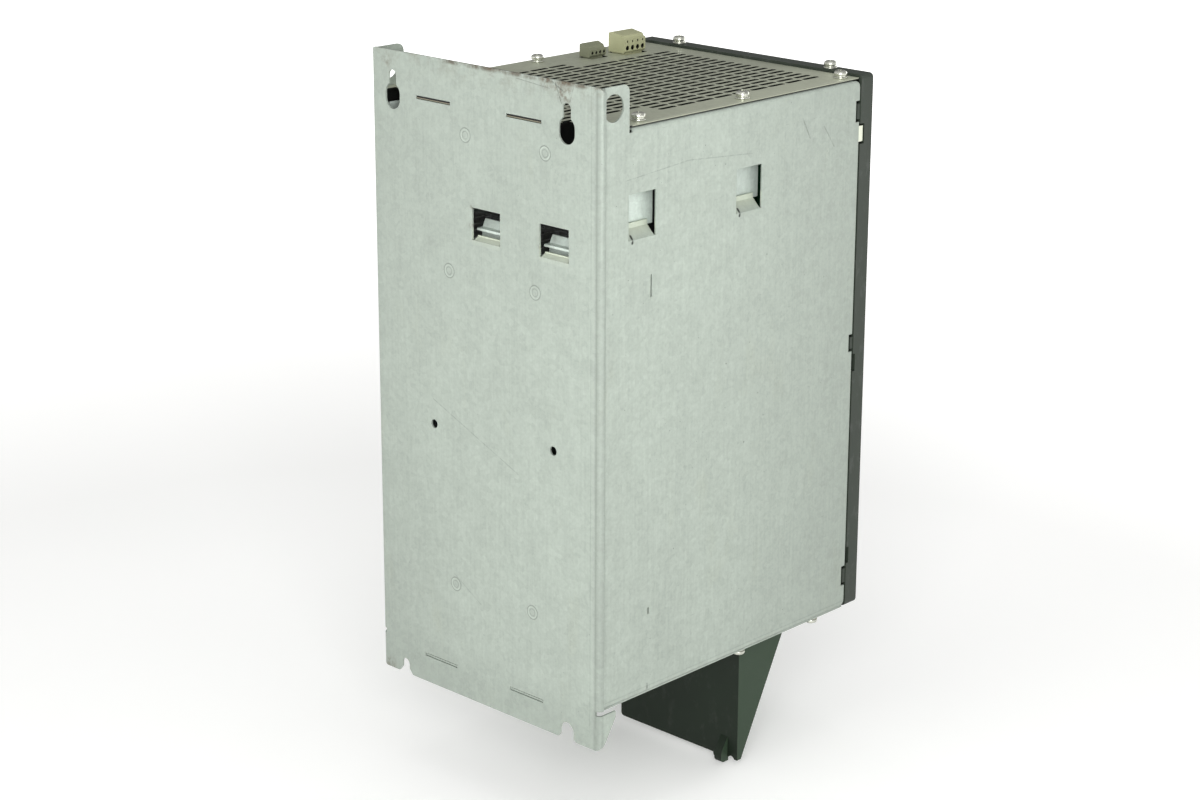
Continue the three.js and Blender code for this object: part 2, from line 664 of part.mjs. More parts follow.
function makeFan(side, label) {
  const x = side * FAN.x;
  const half = FAN.side / 2;
  const frameOutline = roundedRectangle(x - half, x + half, FAN.y - half, FAN.y + half, 4);
  const ring = alongZ(frameOutline, FAN.z0, FAN.z1, [circle(x, FAN.y, FAN.bore, 24)]);
  const motorBase = alongZ(circle(x, FAN.y, FAN.hub, 12), FAN.z0, FAN.z0 + 3);
  const arms = [
    block(x - FAN.bore - 1, x + FAN.bore + 1, FAN.y - 2, FAN.y + 2, FAN.z0, FAN.z0 + 2.4),
    block(x - 2, x + 2, FAN.y - FAN.bore - 1, FAN.y + FAN.bore + 1, FAN.z0, FAN.z0 + 2.4),
  ];
  addPiece(`fan_frame_${label}`, joined([ring, motorBase, ...arms]), blackPart);

  const hub = alongZ(circle(0, 0, FAN.hub, 14), FAN.z0 + 4, FAN.z1 - 2);
  const blades = [];
  for (let i = 0; i < FAN.blades; i += 1) {
    const blade = new THREE.BoxGeometry(FAN.blade - FAN.hub + 3, 18, 1.6);
    blade.rotateX(THREE.MathUtils.degToRad(38));
    blade.translate((FAN.blade + FAN.hub - 3) / 2, 0, (FAN.z0 + FAN.z1) / 2 + 1);
    blade.rotateZ((i * 2 * Math.PI) / FAN.blades);
    blades.push(solidFrom(blade));
  }
  const reach = alongZ(circle(0, 0, FAN.blade, 28), FAN.z0 + 3.5, FAN.z1 - 1);
  const rotor = joined([hub, ...blades]).intersect(reach);
  addPlaced(`fan_rotor_${label}`, rotor, blackPart, x, FAN.y);

  const bar = 1;
  const rings = [36, 26, 16].map((r) => alongZ(
    circle(x, FAN.y, r + bar, 20), -GAP - 2, -GAP, [circle(x, FAN.y, r - bar, 20)],
  ));
  const spokes = [
    block(x - 37, x + 37, FAN.y - bar, FAN.y + bar, -GAP - 2, -GAP),
    block(x - bar, x + bar, FAN.y - 37, FAN.y + 37, -GAP - 2, -GAP),
  ];
  addPiece(`fan_guard_${label}`, joined([...rings, ...spokes]), wire);
}

function addPlaced(name, solid, material, x, y) {
  addPiece(name, solid, material);
  drive.children[drive.children.length - 1].position.set(x, y, 0);
}

// ---------------------------------------------------------------- power stage and boards

function capacitor(x, z) {
  const geometry = new THREE.CylinderGeometry(17.5, 17.5, 50, 14);
  geometry.translate(x, -113.9 - 25.3, z);
  return solidFrom(geometry);
}

function makeElectronics() {
  addPiece('power_module', block(-58, 58, -112, -88.4, 110, 220), blackPart);
  addPiece('power_board', block(-90, 90, -113.9, -112.3, 40, 350), boardGreen);
  [-62, -22, 22, 62].forEach((x, i) => {
    addPiece(`link_capacitor_${i + 1}`, capacitor(x, 316), capacitorSleeve);
  });
  const core = block(-70, -20, -150, -114.2, 200, 244);
  const windings = block(-62, -28, -158, -112.2 - 2, 206, 238);
  addPiece('smps_transformer', core.add(windings), transformerTape);
  addPiece('control_board', block(-92, 92, -181.6, -180, 14, 348), boardGreen);
}

// ---------------------------------------------------------------- front frame, board and cover

// Openings that the frame, the board behind it and the cover share.
function frontOpenings(spare) {
  const openings = [];
  for (const bay of BAYS) {
    openings.push(rectangle(bay.x0 - spare, bay.x1 + spare, BAY_Z[0] - spare, BAY_Z[1] + spare));
  }
  return openings;
}

function makeFrontFrame() {
  const x = PANEL_X - 0.8;
  const holes = [
    ...frontOpenings(CLEAR),
    rectangle(DOOR.x0 + 6, DOOR.x1 - 6, DOOR.z0 + 6, DOOR.z1 - 6),
    rectangle(-88, 88, IO_Z[0] - 3, IO_Z[1] + 3),
    rectangle(-62, 62, ENCODER_Z[0] - 3, ENCODER_Z[1] + 3),
    rectangle(LENS.x0, LENS.x1, LENS.z0, LENS.z1),
    rectangle(KEYS_X[0] - 10, KEYS_X[2] + 10, KEY.z - 7, KEY.z + 7),
  ];
  const lugTop = LID_UNDER - GAP;
  const sheet = alongY(rectangle(-x, x, 4, lugTop - 1.6), ...FRAME_Y, holes);
  const lugs = COVER_SCREWS_X.map((centre) => {
    const rise = block(centre - 8, centre + 8, ...FRAME_Y, lugTop - 3, lugTop);
    const tread = block(centre - 8, centre + 8, -259, FRAME_Y[1], lugTop - SHEET, lugTop);
    const bore = alongZ(circle(centre, COVER_SCREW_Y, SCREW_HOLE, 8), lugTop - 3, lugTop + 1);
    return rise.add(tread).subtract(bore);
  });
  addPiece('front_frame', joined([sheet, ...lugs]), galvanised);
}

function makeInterfaceBoard() {
  const board = alongY(rectangle(-92, 92, 16, 366), ...BOARD_Y, [rectangle(5, 93 - 2, BAY_Z[0] - 3, BAY_Z[1] + 3)]);
  addPiece('interface_board', board, boardGreen);

  const [header0, header1] = [BOARD_Y[0] - GAP, -250];
  const carrier = block(IO_X[0][0], IO_X[1][1], header0 - 2, header0, IO_Z[0], IO_Z[1]);
  const sockets = IO_X.map(([x0, x1]) => block(x0, x1, header1, header0, IO_Z[0], IO_Z[1]));
  const wells = IO_X.map(([x0, x1]) => block(x0 + 1.5, x1 - 1.5, header1 - 1, header0 - 3, IO_Z[0] + 2, IO_Z[1] - 2));
  addPiece('io_header', cut(joined([carrier, ...sockets]), wells), greenPlug);

  const service = block(-66, -30, -254, header0, 262, 276);
  const serviceFace = service.subtract(block(-60, -36, -255, -249, 264.5, 273.5));
  addPiece('service_port', serviceFace, aluminium);

  const encoderPlate = block(-58, 58, -247.4 - 1.2, -247.4, ENCODER_Z[0] - 1.6, ENCODER_Z[1] + 1.6);
  const encoderShells = [-30, 30].map((x) => block(x - 17, x + 17, -256, header0, 42, 54));
  const encoderWells = [-30, 30].map((x) => block(x - 14, x + 14, -257, -250, 44.2, 51.8));
  addPiece('encoder_ports', cut(joined([encoderPlate, ...encoderShells]), encoderWells), aluminium);
}

function makeFrontCover() {
  const y0 = FRONT_Y;
  const inner = COVER_X - COVER_WALL;
  const outline = roundedRectangle(-COVER_X, COVER_X, COVER_Z[0], COVER_Z[1], 3);
  const shell = alongY(outline, y0, COVER_REAR);
  const hollow = block(
    -inner, inner, y0 + COVER_WALL, COVER_REAR + 1, COVER_Z[0] + COVER_WALL, COVER_Z[1] - COVER_WALL,
  );
  const through = (points) => alongY(points, y0 - 1, y0 + COVER_WALL + 1);
  const windows = frontOpenings(CLEAR).map(through);
  windows.push(through(rectangle(DOOR.x0 - 2.4, DOOR.x1 + CLEAR, DOOR.z0 - CLEAR, DOOR.z1 + CLEAR)));
  windows.push(through(rectangle(-88, 88, IO_Z[0] - 3, IO_Z[1] + 3)));
  windows.push(through(rectangle(-50, -10, ENCODER_Z[0] + 3, ENCODER_Z[1] - 3)));
  windows.push(through(rectangle(10, 50, ENCODER_Z[0] + 3, ENCODER_Z[1] - 3)));
  windows.push(through(rectangle(LENS.x0 - GAP, LENS.x1 + GAP, LENS.z0 - GAP, LENS.z1 + GAP)));
  for (const x of KEYS_X) {
    const w = KEY.width / 2 + 0.4;
    const h = KEY.height / 2 + 0.4;
    windows.push(through(roundedRectangle(x - w, x + w, KEY.z - h, KEY.z + h, 2)));
  }
  for (let i = 0; i < LOUVRES.count; i += 1) {
    const z = LOUVRES.z0 + i * LOUVRES.pitch;
    windows.push(through(rectangle(LOUVRES.x0, LOUVRES.x1, z, z + LOUVRES.height)));
  }
  const tools = [hollow, ...windows];
  for (const side of [1, -1]) {
    const recess = (z0, z1, depth) => block(
      side * (inner - 1), side * (COVER_X + 1), COVER_REAR - depth, COVER_REAR + 1, z0, z1,
    );
    tools.push(recess(CATCH.from - CATCH.gap, CATCH.to + CATCH.gap, CATCH.reach));
    for (const [z0, z1] of COVER_NOTCHES) {
      tools.push(recess(z0, z1, COVER_NOTCH_DEPTH));
    }
  }
  for (const x of COVER_SCREWS_X) {
    tools.push(alongZ(circle(x, COVER_SCREW_Y, SCREW_HOLE, 8), COVER_Z[1] - 4, COVER_Z[1] + 1));
  }
  const clips = [];
  for (const side of [1, -1]) {
    for (const [z0, z1] of CLIP_NOTCHES) {
      clips.push(block(
        side * SIDE_INNER, side * SIDE_X,
        COVER_REAR - 1, -CHASSIS_DEPTH + CLIP_DEPTH - 1.5, z0 + 2, z1 - 2,
      ));
    }
  }
  addPiece('front_cover', joined([cut(shell, tools), ...clips]), blackCover);
}

// ---------------------------------------------------------------- pieces on the front

function makeFrontDetails() {
  const lensBack = FRONT_Y + 4;
  addPiece('status_window', block(LENS.x0, LENS.x1, FRONT_Y, lensBack, LENS.z0, LENS.z1), smokedLens);

  KEYS_X.forEach((x, i) => {
    const w = KEY.width / 2;
    const h = KEY.height / 2;
    const shoulder = FRONT_Y + COVER_WALL + GAP;
    const cap = alongY(roundedRectangle(x - w, x + w, KEY.z - h, KEY.z + h, 1.8), FRONT_Y - 0.8, shoulder + 1.2);
    const collar = block(x - w - 1.2, x + w + 1.2, shoulder, shoulder + 1.2, KEY.z - h - 1.2, KEY.z + h + 1.2);
    const stem = block(x - 2, x + 2, shoulder, BOARD_Y[0] - KEY.travel - 0.5, KEY.z - 2, KEY.z + 2);
    addPiece(`key_${i + 1}`, joined([cap, collar, stem]), keyRubber);
  });

  BAYS.forEach((bay, i) => {
    const faceplate = block(bay.x0, bay.x1, FRONT_Y, FRONT_Y + 3, ...BAY_Z);
    const chassis = block(bay.x0 + 4, bay.x1 - 4, FRONT_Y + 2, FRONT_Y + BAY_DEPTH, BAY_Z[0] + 6, BAY_Z[1] - 6);
    const middle = (bay.x0 + bay.x1) / 2;
    const sockets = [];
    if (i === 0) {
      for (const z of [288, 262]) {
        sockets.push(block(middle - 6, middle + 6, FRONT_Y - 1, FRONT_Y + 12, z - 4.2, z + 4.2));
      }
    } else {
      sockets.push(block(middle - 5, middle + 5, FRONT_Y - 1, FRONT_Y + 6, 252, 286));
    }
    const grips = [BAY_Z[0] + 8, BAY_Z[1] - 8].map((z) => (
      alongY(circle(middle, z, 4, 12), FRONT_Y - 1.4, FRONT_Y + 1)
    ));
    const solid = joined([cut(faceplate.add(chassis), sockets), ...grips]);
    addPiece(i === 0 ? 'fieldbus_module' : 'encoder_module', solid, moduleCase);
  });

  const doorPanel = block(DOOR.x0, DOOR.x1, FRONT_Y, FRONT_Y + 2.4, DOOR.z0, DOOR.z1);
  const doorRib = block(DOOR.x1 - 9, DOOR.x1 - 6, FRONT_Y + 2, FRONT_Y + 5, DOOR.z0 + 10, DOOR.z1 - 10);
  const knuckle = alongZ(circle(DOOR.x0, FRONT_Y + 1.4, 1.4, 10), DOOR.z0, DOOR.z1);
  const thumbCut = alongY(circle(DOOR.x1 + 4, (DOOR.z0 + DOOR.z1) / 2, 9, 16), FRONT_Y - 1, FRONT_Y + 4);
  addPiece('service_door', joined([doorPanel, doorRib, knuckle]).subtract(thumbCut), lightCover);

  IO_X.forEach(([x0, x1], i) => {
    const z0 = IO_Z[0] + 0.4;
    const z1 = IO_Z[1] - 0.4;
    const body = block(x0 + 0.4, x1 - 0.4, FRONT_Y + 0.4, -250.4, z0, z1);
    const tongue = block(x0 + 2.2, x1 - 2.2, -251, -243.5, z0 + 2.2, z1 - 2.2);
    const pitch = (x1 - x0) / IO_POLES;
    const entries = [];
    for (let pole = 0; pole < IO_POLES; pole += 1) {
      const x = x0 + (pole + 0.5) * pitch;
      entries.push(block(x - 1.5, x + 1.5, FRONT_Y - 1, FRONT_Y + 6, z0 + 4, z0 + 7));
    }
    addPiece(i === 0 ? 'io_plug_left' : 'io_plug_right', cut(body.add(tongue), entries), greenPlug);
  });
}

makeBackPlate();
makeSidePanel(-1, 'side_panel_left');
makeSidePanel(1, 'side_panel_right');
makeTopGrille();
makeBottomPanel();
makeScrews();
makeLidConnectors();
makeTerminalGuard();
makePowerTerminal('motor', MOTOR_X, 6);
makePowerTerminal('mains', MAINS_X, 5);
makeInnerSheets();
makeHeatsink();
makeFan(1, 'right');
makeFan(-1, 'left');
makeElectronics();
makeFrontFrame();
makeInterfaceBoard();
makeFrontCover();
makeFrontDetails();

export default drive;
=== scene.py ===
import json
import math
from functools import reduce

import bmesh
import bpy
from mathutils import Matrix, Vector


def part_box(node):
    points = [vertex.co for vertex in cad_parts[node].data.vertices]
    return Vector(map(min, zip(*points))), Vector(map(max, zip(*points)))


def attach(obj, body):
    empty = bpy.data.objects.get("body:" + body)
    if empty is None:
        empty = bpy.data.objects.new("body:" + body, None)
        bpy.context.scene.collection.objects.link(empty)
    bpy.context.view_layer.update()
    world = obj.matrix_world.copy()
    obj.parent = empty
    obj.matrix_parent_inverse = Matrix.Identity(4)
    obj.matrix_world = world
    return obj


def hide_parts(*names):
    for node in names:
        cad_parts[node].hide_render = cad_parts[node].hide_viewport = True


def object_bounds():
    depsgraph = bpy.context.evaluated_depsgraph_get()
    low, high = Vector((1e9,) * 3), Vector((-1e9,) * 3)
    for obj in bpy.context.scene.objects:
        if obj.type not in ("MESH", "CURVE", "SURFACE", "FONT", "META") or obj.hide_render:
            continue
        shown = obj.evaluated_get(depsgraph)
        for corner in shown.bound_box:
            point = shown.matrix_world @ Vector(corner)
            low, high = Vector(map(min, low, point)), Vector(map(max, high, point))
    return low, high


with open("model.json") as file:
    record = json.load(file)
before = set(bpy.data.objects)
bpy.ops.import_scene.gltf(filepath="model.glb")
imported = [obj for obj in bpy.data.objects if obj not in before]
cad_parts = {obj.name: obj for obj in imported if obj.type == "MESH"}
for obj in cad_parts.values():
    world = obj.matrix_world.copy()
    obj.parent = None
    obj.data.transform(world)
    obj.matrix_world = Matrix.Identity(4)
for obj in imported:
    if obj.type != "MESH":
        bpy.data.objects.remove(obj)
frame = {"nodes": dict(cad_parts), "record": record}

CAD_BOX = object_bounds()
NODES = frame["nodes"]
SLOT_OF = {entry["node"]: entry["material_slot"] for entry in frame["record"]["subparts"]}
BODY_OF = {
    node: body
    for body, members in frame["record"]["behaviour"]["bodies"].items()
    for node in members
}
MM = 0.001

# ---------------------------------------------------------------- places on the drive, in millimetres

SIDE_X = -100.5  # outer face of the right side panel
SIDE_FRONT = -248.7  # front edge of the side panels
SIDE_WINDOWS_Y = ((-50.3, -25.8), (-150.2, -125.4))
REAR_WINDOWS_X = ((-15.3, 9.8), (-74.9, -49.8))
CLIP_NOTCHES_Z = ((345.5, 359.9), (187.1, 199.4), (17.1, 31.5))
CLINCHES = ((15, 356.4), (-55, 356.4), (31.1, 266.5), (-46.1, 266.5), (28.5, 53.4), (-43.2, 53.4))
LID_SCREW_SHANK = 4  # how far a screw's shank reaches below its washer

# Centres of the darker and lighter rings painted around the clinched joints.
CLINCH_RINGS = ((15.2, 356.5), (-55.0, 355.6), (31.3, 266.3), (-46.0, 266.5), (28.7, 53.2), (-42.5, 53.3))
# Rust: point, radius, soft edge and strength.
RUST = (
    ((-69.0, 0, 399.5), 4, 7, 1.0),
    ((-56.0, 0, 400.5), 1, 6, 1.0),
    ((-10.0, 0, 401.0), 1, 5, 0.9),
    ((-72.5, 0, 392.5), 1, 5, 0.9),
    ((-99.0, 0, 401.0), 1, 5, 0.7),
    ((10.0, 0, 299.0), 1, 2.2, 1.0),
    ((10.0, 0, 311.0), 0.5, 1.8, 0.9),
    ((-50.0, 0, 296.5), 0.5, 1.5, 0.7),
    ((95.0, -2, -24.0), 2, 6, 0.9),
    ((87.0, 0, 394.0), 1, 5, 0.6),
    ((102.3, -4, 190.0), 1, 3, 0.8),
)
# Scratches: two ends, width and strength.
SCRATCHES = (
    ((48.0, 0, 177.0), (-30.0, 0, 144.0), 0.6, 0.30),
    ((30.0, 0, 60.0), (5.0, 0, 45.0), 0.5, 0.25),
    ((-64.0, 0, 400.0), (-69.0, 0, 388.0), 0.5, 0.85),
    ((-61.0, 0, 400.5), (-70.0, 0, 396.0), 0.6, 0.80),
    ((-30.0, 0, 398.5), (-59.0, 0, 396.0), 0.4, 0.55),
    ((-79.0, 0, 399.0), (-76.0, 0, 390.0), 0.4, 0.50),
    ((SIDE_X, -24.0, 342.0), (SIDE_X, -80.0, 346.0), 0.5, 0.28),
    ((SIDE_X, -80.0, 346.0), (SIDE_X, -140.0, 341.0), 0.5, 0.28),
    ((SIDE_X, -190.0, 356.0), (SIDE_X, -198.0, 342.0), 0.6, 0.55),
    ((SIDE_X, -212.0, 348.0), (SIDE_X, -223.0, 333.0), 0.5, 0.45),
    # Painted shade: the last one is a short dark slit at the foot of the right side, painted in place of a
    # cut slot.
    ((-100.4, -45.8, 3.6), (SIDE_X, -46.0, 6.6), 1.1, 1.00),
)
# Smudges: point, radius and soft edge.
SMUDGES = (
    ((-20, 0, 330), 4, 20),
    ((50, 0, 285), 4, 16),
    ((-85, 0, 235), 6, 30),
    ((85, 0, 20), 6, 30),
    ((-10, 0, 150), 2, 16),
    ((SIDE_X, -60, 50), 6, 30),
)

RUST_BROWN = (0.085, 0.045, 0.018, 1.0)
GRIME = (0.13, 0.115, 0.075, 1.0)
WORN_EDGE = (0.070, 0.050, 0.028, 1.0)
# Painted shade: near black, for the cut beside the side tongues.
PAINTED_GAP_SHADE = (0.006, 0.007, 0.006, 1.0)
# Painted shade: near black, for the lid's slot walls and the left side's inner face under the lid.
PAINTED_DEEP_SHADE = (0.012, 0.013, 0.011, 1.0)
CATCH_PAINT = (0.66, 0.69, 0.57, 1.0)
GRAIN_DEPTH = 0.00004  # of moulded plastic, in metres


# ---------------------------------------------------------------- shader nodes


class Tree:
    """A material's node tree with short calls for the nodes that are used here."""

    def __init__(self, name, color, roughness, **constants):
        self.material = bpy.data.materials.new(name)
        self.material.use_nodes = True
        self.nodes = self.material.node_tree.nodes
        self.links = self.material.node_tree.links
        self.shader = self.nodes["Principled BSDF"]
        self.set("Base Color", (*color, 1.0))
        self.set("Roughness", roughness)
        for socket, value in constants.items():
            self.set(socket.replace("_", " "), value)
        self.coord = self.add("ShaderNodeTexCoord").outputs["Object"]
        self.height = None

    def set(self, socket, value):
        if isinstance(value, bpy.types.NodeSocket):
            self.links.new(value, self.shader.inputs[socket])
        else:
            self.shader.inputs[socket].default_value = value

    def add(self, kind, inputs=None, **settings):
        made = self.nodes.new(kind)
        for key, value in settings.items():
            setattr(made, key, value)
        for key, value in (inputs or {}).items():
            if isinstance(value, bpy.types.NodeSocket):
                self.links.new(value, made.inputs[key])
            else:
                made.inputs[key].default_value = value
        return made

    def stretched(self, scale):
        mapping = self.add("ShaderNodeMapping", {"Vector": self.coord, "Scale": scale})
        return mapping.outputs[0]

    def noise(self, scale, detail=4.0, rough=0.6, stretch=None):
        vector = self.stretched(stretch) if stretch else self.coord
        inputs = {"Vector": vector, "Scale": scale, "Detail": detail, "Roughness": rough}
        return self.add("ShaderNodeTexNoise", inputs).outputs[0]

    def cells(self, scale, feature="F1", output="Color"):
        inputs = {"Vector": self.coord, "Scale": scale}
        return self.add("ShaderNodeTexVoronoi", inputs, feature=feature).outputs[output]

    def math(self, operation, a, b=0.0, clamp=False):
        return self.add("ShaderNodeMath", {0: a, 1: b}, operation=operation, use_clamp=clamp).outputs[0]

    def remap(self, value, low, high, to_low=0.0, to_high=1.0):
        inputs = {0: value, 1: low, 2: high, 3: to_low, 4: to_high}
        return self.add("ShaderNodeMapRange", inputs).outputs[0]

    def mix(self, factor, a, b, blend="MIX"):
        made = self.add("ShaderNodeMix", data_type="RGBA", blend_type=blend)
        for index, value in ((0, factor), (6, a), (7, b)):
            if isinstance(value, bpy.types.NodeSocket):
                self.links.new(value, made.inputs[index])
            else:
                made.inputs[index].default_value = value
        return made.outputs[2]

    def axis(self, name):
        return self.add("ShaderNodeSeparateXYZ", {0: self.coord}).outputs[name]

    def along(self, name, start, end, at_start=0.0, at_end=1.0):
        """A ramp between two places on an axis, in millimetres."""
        return self.remap(self.axis(name), start * MM, end * MM, at_start, at_end)

    def distance_to(self, point):
        inputs = {0: self.coord, 1: Vector(point) * MM}
        return self.add("ShaderNodeVectorMath", inputs, operation="DISTANCE").outputs["Value"]

    def near_point(self, point, radius, soft):
        """1 within a radius of a point and 0 beyond a soft edge, in millimetres."""
        return self.remap(self.distance_to(point), radius * MM, (radius + soft) * MM, 1.0, 0.0)

    def near_ring(self, point, radius, width):
        """1 on a circle of the given radius about a point and 0 off it, in millimetres."""
        gap = self.math("ABSOLUTE", self.math("SUBTRACT", self.distance_to(point), radius * MM))
        return self.remap(gap, width * 0.3 * MM, width * MM, 1.0, 0.0)

    def near_line(self, start, end, width):
        """1 on the straight line between two points and 0 off it, in millimetres."""
        start, end = Vector(start) * MM, Vector(end) * MM
        along = end - start
        offset = self.add("ShaderNodeVectorMath", {0: self.coord, 1: start}, operation="SUBTRACT").outputs[0]
        unit = along / along.length_squared
        dot = self.add("ShaderNodeVectorMath", {0: offset, 1: unit}, operation="DOT_PRODUCT").outputs["Value"]
        place = self.math("MULTIPLY", dot, 1.0, clamp=True)
        foot = self.add("ShaderNodeVectorMath", {0: along, "Scale": place}, operation="SCALE").outputs[0]
        gap = self.add("ShaderNodeVectorMath", {0: offset, 1: foot}, operation="DISTANCE").outputs["Value"]
        return self.remap(gap, width * 0.4 * MM, width * MM, 1.0, 0.0)

    def inside(self, low, high, soft=0.2):
        """1 inside a block between two corners and 0 outside it, in millimetres; None leaves a side open."""
        split = self.add("ShaderNodeSeparateXYZ", {0: self.coord})
        factors = []
        for axis, least, most in zip("XYZ", low, high):
            place = split.outputs[axis]
            if least is not None:
                factors.append(self.remap(place, (least - soft) * MM, (least + soft) * MM))
            if most is not None:
                factors.append(self.remap(place, (most - soft) * MM, (most + soft) * MM, 1.0, 0.0))
        return reduce(lambda a, b: self.math("MULTIPLY", a, b), factors)

    def facing(self, axis, low, high):
        """How far the surface faces along an axis of the object, mapped between two limits."""
        normal = self.add("ShaderNodeNewGeometry").outputs["True Normal"]
        return self.remap(self.add("ShaderNodeSeparateXYZ", {0: normal}).outputs[axis], low, high)

    def tint(self, paint, where, amount, color):
        """The paint with a colour mixed in where a factor says, as strongly as the amount says."""
        return self.mix(self.math("MULTIPLY", where, amount), paint, color)

    def bump(self, height, distance, strength=1.0):
        inputs = {"Height": height, "Distance": distance, "Strength": strength}
        if self.height is not None:
            inputs["Normal"] = self.height
        self.height = self.add("ShaderNodeBump", inputs).outputs[0]
        self.set("Normal", self.height)


def shade(color, factor):
    return (*[min(1.0, channel * factor) for channel in color], 1.0)


def sheet_metal(name, color, marks=True, shine=0.30):
    """Zinc-coated sheet: mottling, faint upright streaks, smudges, specks and short scratches."""
    tree = Tree(name, color, 0.42, Metallic=shine)
    streaks = tree.noise(1.0, 3.0, 0.6, stretch=(520, 520, 16))
    mottle = tree.noise(420.0, 4.0, 0.7)
    patches = tree.noise(60.0, 5.0, 0.65)
    clouds = tree.noise(7.0, 5.0, 0.62)
    smears = tree.noise(1.0, 6.0, 0.7, stretch=(34, 34, 12))
    spangle = tree.cells(260.0)
    spangle_value = tree.add("ShaderNodeRGBToBW", {0: spangle}).outputs[0]
    paint = tree.mix(tree.remap(clouds, 0.36, 0.66), shade(color, 0.965), shade(color, 1.035))
    warm = (color[0] * 0.98, color[1] * 0.94, color[2] * 0.84, 1.0)
    paint = tree.mix(tree.remap(smears, 0.58, 0.80, 0.0, 0.40), paint, warm)
    for value, low, high, amount in (
        (streaks, 0.34, 0.70, 0.045),
        (mottle, 0.32, 0.68, 0.085),
        (patches, 0.35, 0.65, 0.05),
        (spangle_value, 0.2, 0.8, 0.05),
    ):
        tone = tree.remap(value, low, high, 1.0 - amount, 1.0 + amount * 0.6)
        grey = tree.add("ShaderNodeCombineColor", {0: tone, 1: tone, 2: tone}).outputs[0]
        paint = tree.mix(1.0, paint, grey, "MULTIPLY")
    scratch = tree.noise(1.0, 2.0, 0.5, stretch=(210, 210, 1500))
    paint = tree.mix(tree.remap(scratch, 0.735, 0.77, 0.0, 0.40), paint, shade(color, 1.30))
    scuff = tree.noise(1.0, 2.0, 0.5, stretch=(420, 60, 420))
    paint = tree.mix(tree.remap(scuff, 0.74, 0.79, 0.0, 0.35), paint, shade(color, 0.5))
    speck = tree.noise(520.0, 1.0, 0.5)
    paint = tree.mix(tree.remap(speck, 0.78, 0.81, 0.0, 0.6), paint, shade(color, 0.25))
    if marks:
        paint = marks_on(tree, paint, color)
    tree.set("Base Color", paint)
    tree.set("Roughness", tree.remap(clouds, 0.3, 0.7, 0.40, 0.56))
    tree.bump(streaks, 0.00003)
    tree.bump(spangle_value, 0.00003)
    return tree


def lid_metal(name, color):
    """The lid's duller sheet, with painted light towards its right front and along its right edge, painted
    shade on the cut edges in its slots, and two tabs in the back plate with a painted shadow on them.
    """
    tree = sheet_metal(name, color, marks=False, shine=0.5)
    paint = tree.shader.inputs["Base Color"].links[0].from_socket
    # Painted light: brighter towards the lid's right front.
    painted_sheen = tree.math("MULTIPLY", tree.along("X", -20, -100), tree.along("Y", -20, -200))
    paint = tree.tint(paint, painted_sheen, 0.45, shade(color, 1.6))
    # Painted highlight along the lid's right edge.
    rim = tree.inside((None, None, None), (-96.2, -30, None), 0.4)
    paint = tree.tint(paint, rim, 0.40, shade(color, 1.5))
    # Painted shade on every face that doesn't face up, such as the cut edges in the slots.
    paint = tree.mix(tree.facing("Z", 0.35, 0.75), PAINTED_DEEP_SHADE, paint)
    # Painted light: a plain strip a little lighter than the sheet on top of the lid's right edge.
    edge = tree.inside((None, None, 374.35), (-97.5, -30, None))
    paint = tree.tint(paint, edge, 0.75, shade(color, 1.05))
    tabs = tree.inside((None, -3.5, None), (None, None, None), 0.4)
    paint = tree.mix(tabs, paint, (0.27, 0.25, 0.18, 1.0))
    shadow = tree.math("MULTIPLY", tabs, tree.along("Z", 374.1, 374.5))
    paint = tree.mix(shadow, paint, (0.010, 0.010, 0.008, 1.0))
    tree.set("Base Color", paint)
    return tree


def wall_metal(name, color):
    """The inner walls' sheet, in less light towards the front."""
    tree = sheet_metal(name, color, marks=False)
    paint = tree.shader.inputs["Base Color"].links[0].from_socket
    tree.set("Base Color", tree.mix(tree.along("Y", -70, -140, 0.0, 0.22), paint, shade(color, 0.20)))
    return tree


def marks_on(tree, paint, color):
    """Wear, rust and grime where this drive has them, with painted light and painted shade in some places."""
    speckle = tree.noise(260.0, 5.0, 0.7)
    coarse = tree.noise(90.0, 5.0, 0.7)
    paint = painted_shade_places(tree, paint, color)
    paint = tongues(tree, paint, color)
    paint = bend_lines(tree, paint, color)
    paint = soiled_rim(tree, paint, coarse)
    paint = clinch_rings(tree, paint, color)
    paint = tree.mix(tree.inside((None, None, 331.5), (-99, SIDE_FRONT, 343.2)), paint, CATCH_PAINT)
    # Painted shade on the left side's inner face under the lid.
    under_lid_shade = tree.inside((90, -70, 340), (99.8, None, 374.5), 0.4)
    paint = tree.mix(tree.math("MULTIPLY", under_lid_shade, tree.facing("X", -0.4, -0.8)), paint, PAINTED_DEEP_SHADE)
    for point, radius, soft, amount in RUST:
        near = tree.near_point(point, radius, soft)
        broken = tree.math("MULTIPLY", near, tree.remap(speckle, 0.43, 0.70, 0.0, amount), clamp=True)
        paint = tree.mix(broken, paint, RUST_BROWN)
    for start, end, width, amount in SCRATCHES:
        line = tree.near_line(start, end, width)
        broken = tree.math("MULTIPLY", line, tree.remap(speckle, 0.40, 0.56, 0.25, 1.0))
        paint = tree.tint(paint, broken, amount, shade(color, 0.25))
    for point, radius, soft in SMUDGES:
        near = tree.near_point(point, radius, soft)
        cloudy = tree.math("MULTIPLY", near, tree.remap(coarse, 0.45, 0.68, 0.0, 0.30))
        paint = tree.mix(cloudy, paint, shade(color, 0.62))
    return paint


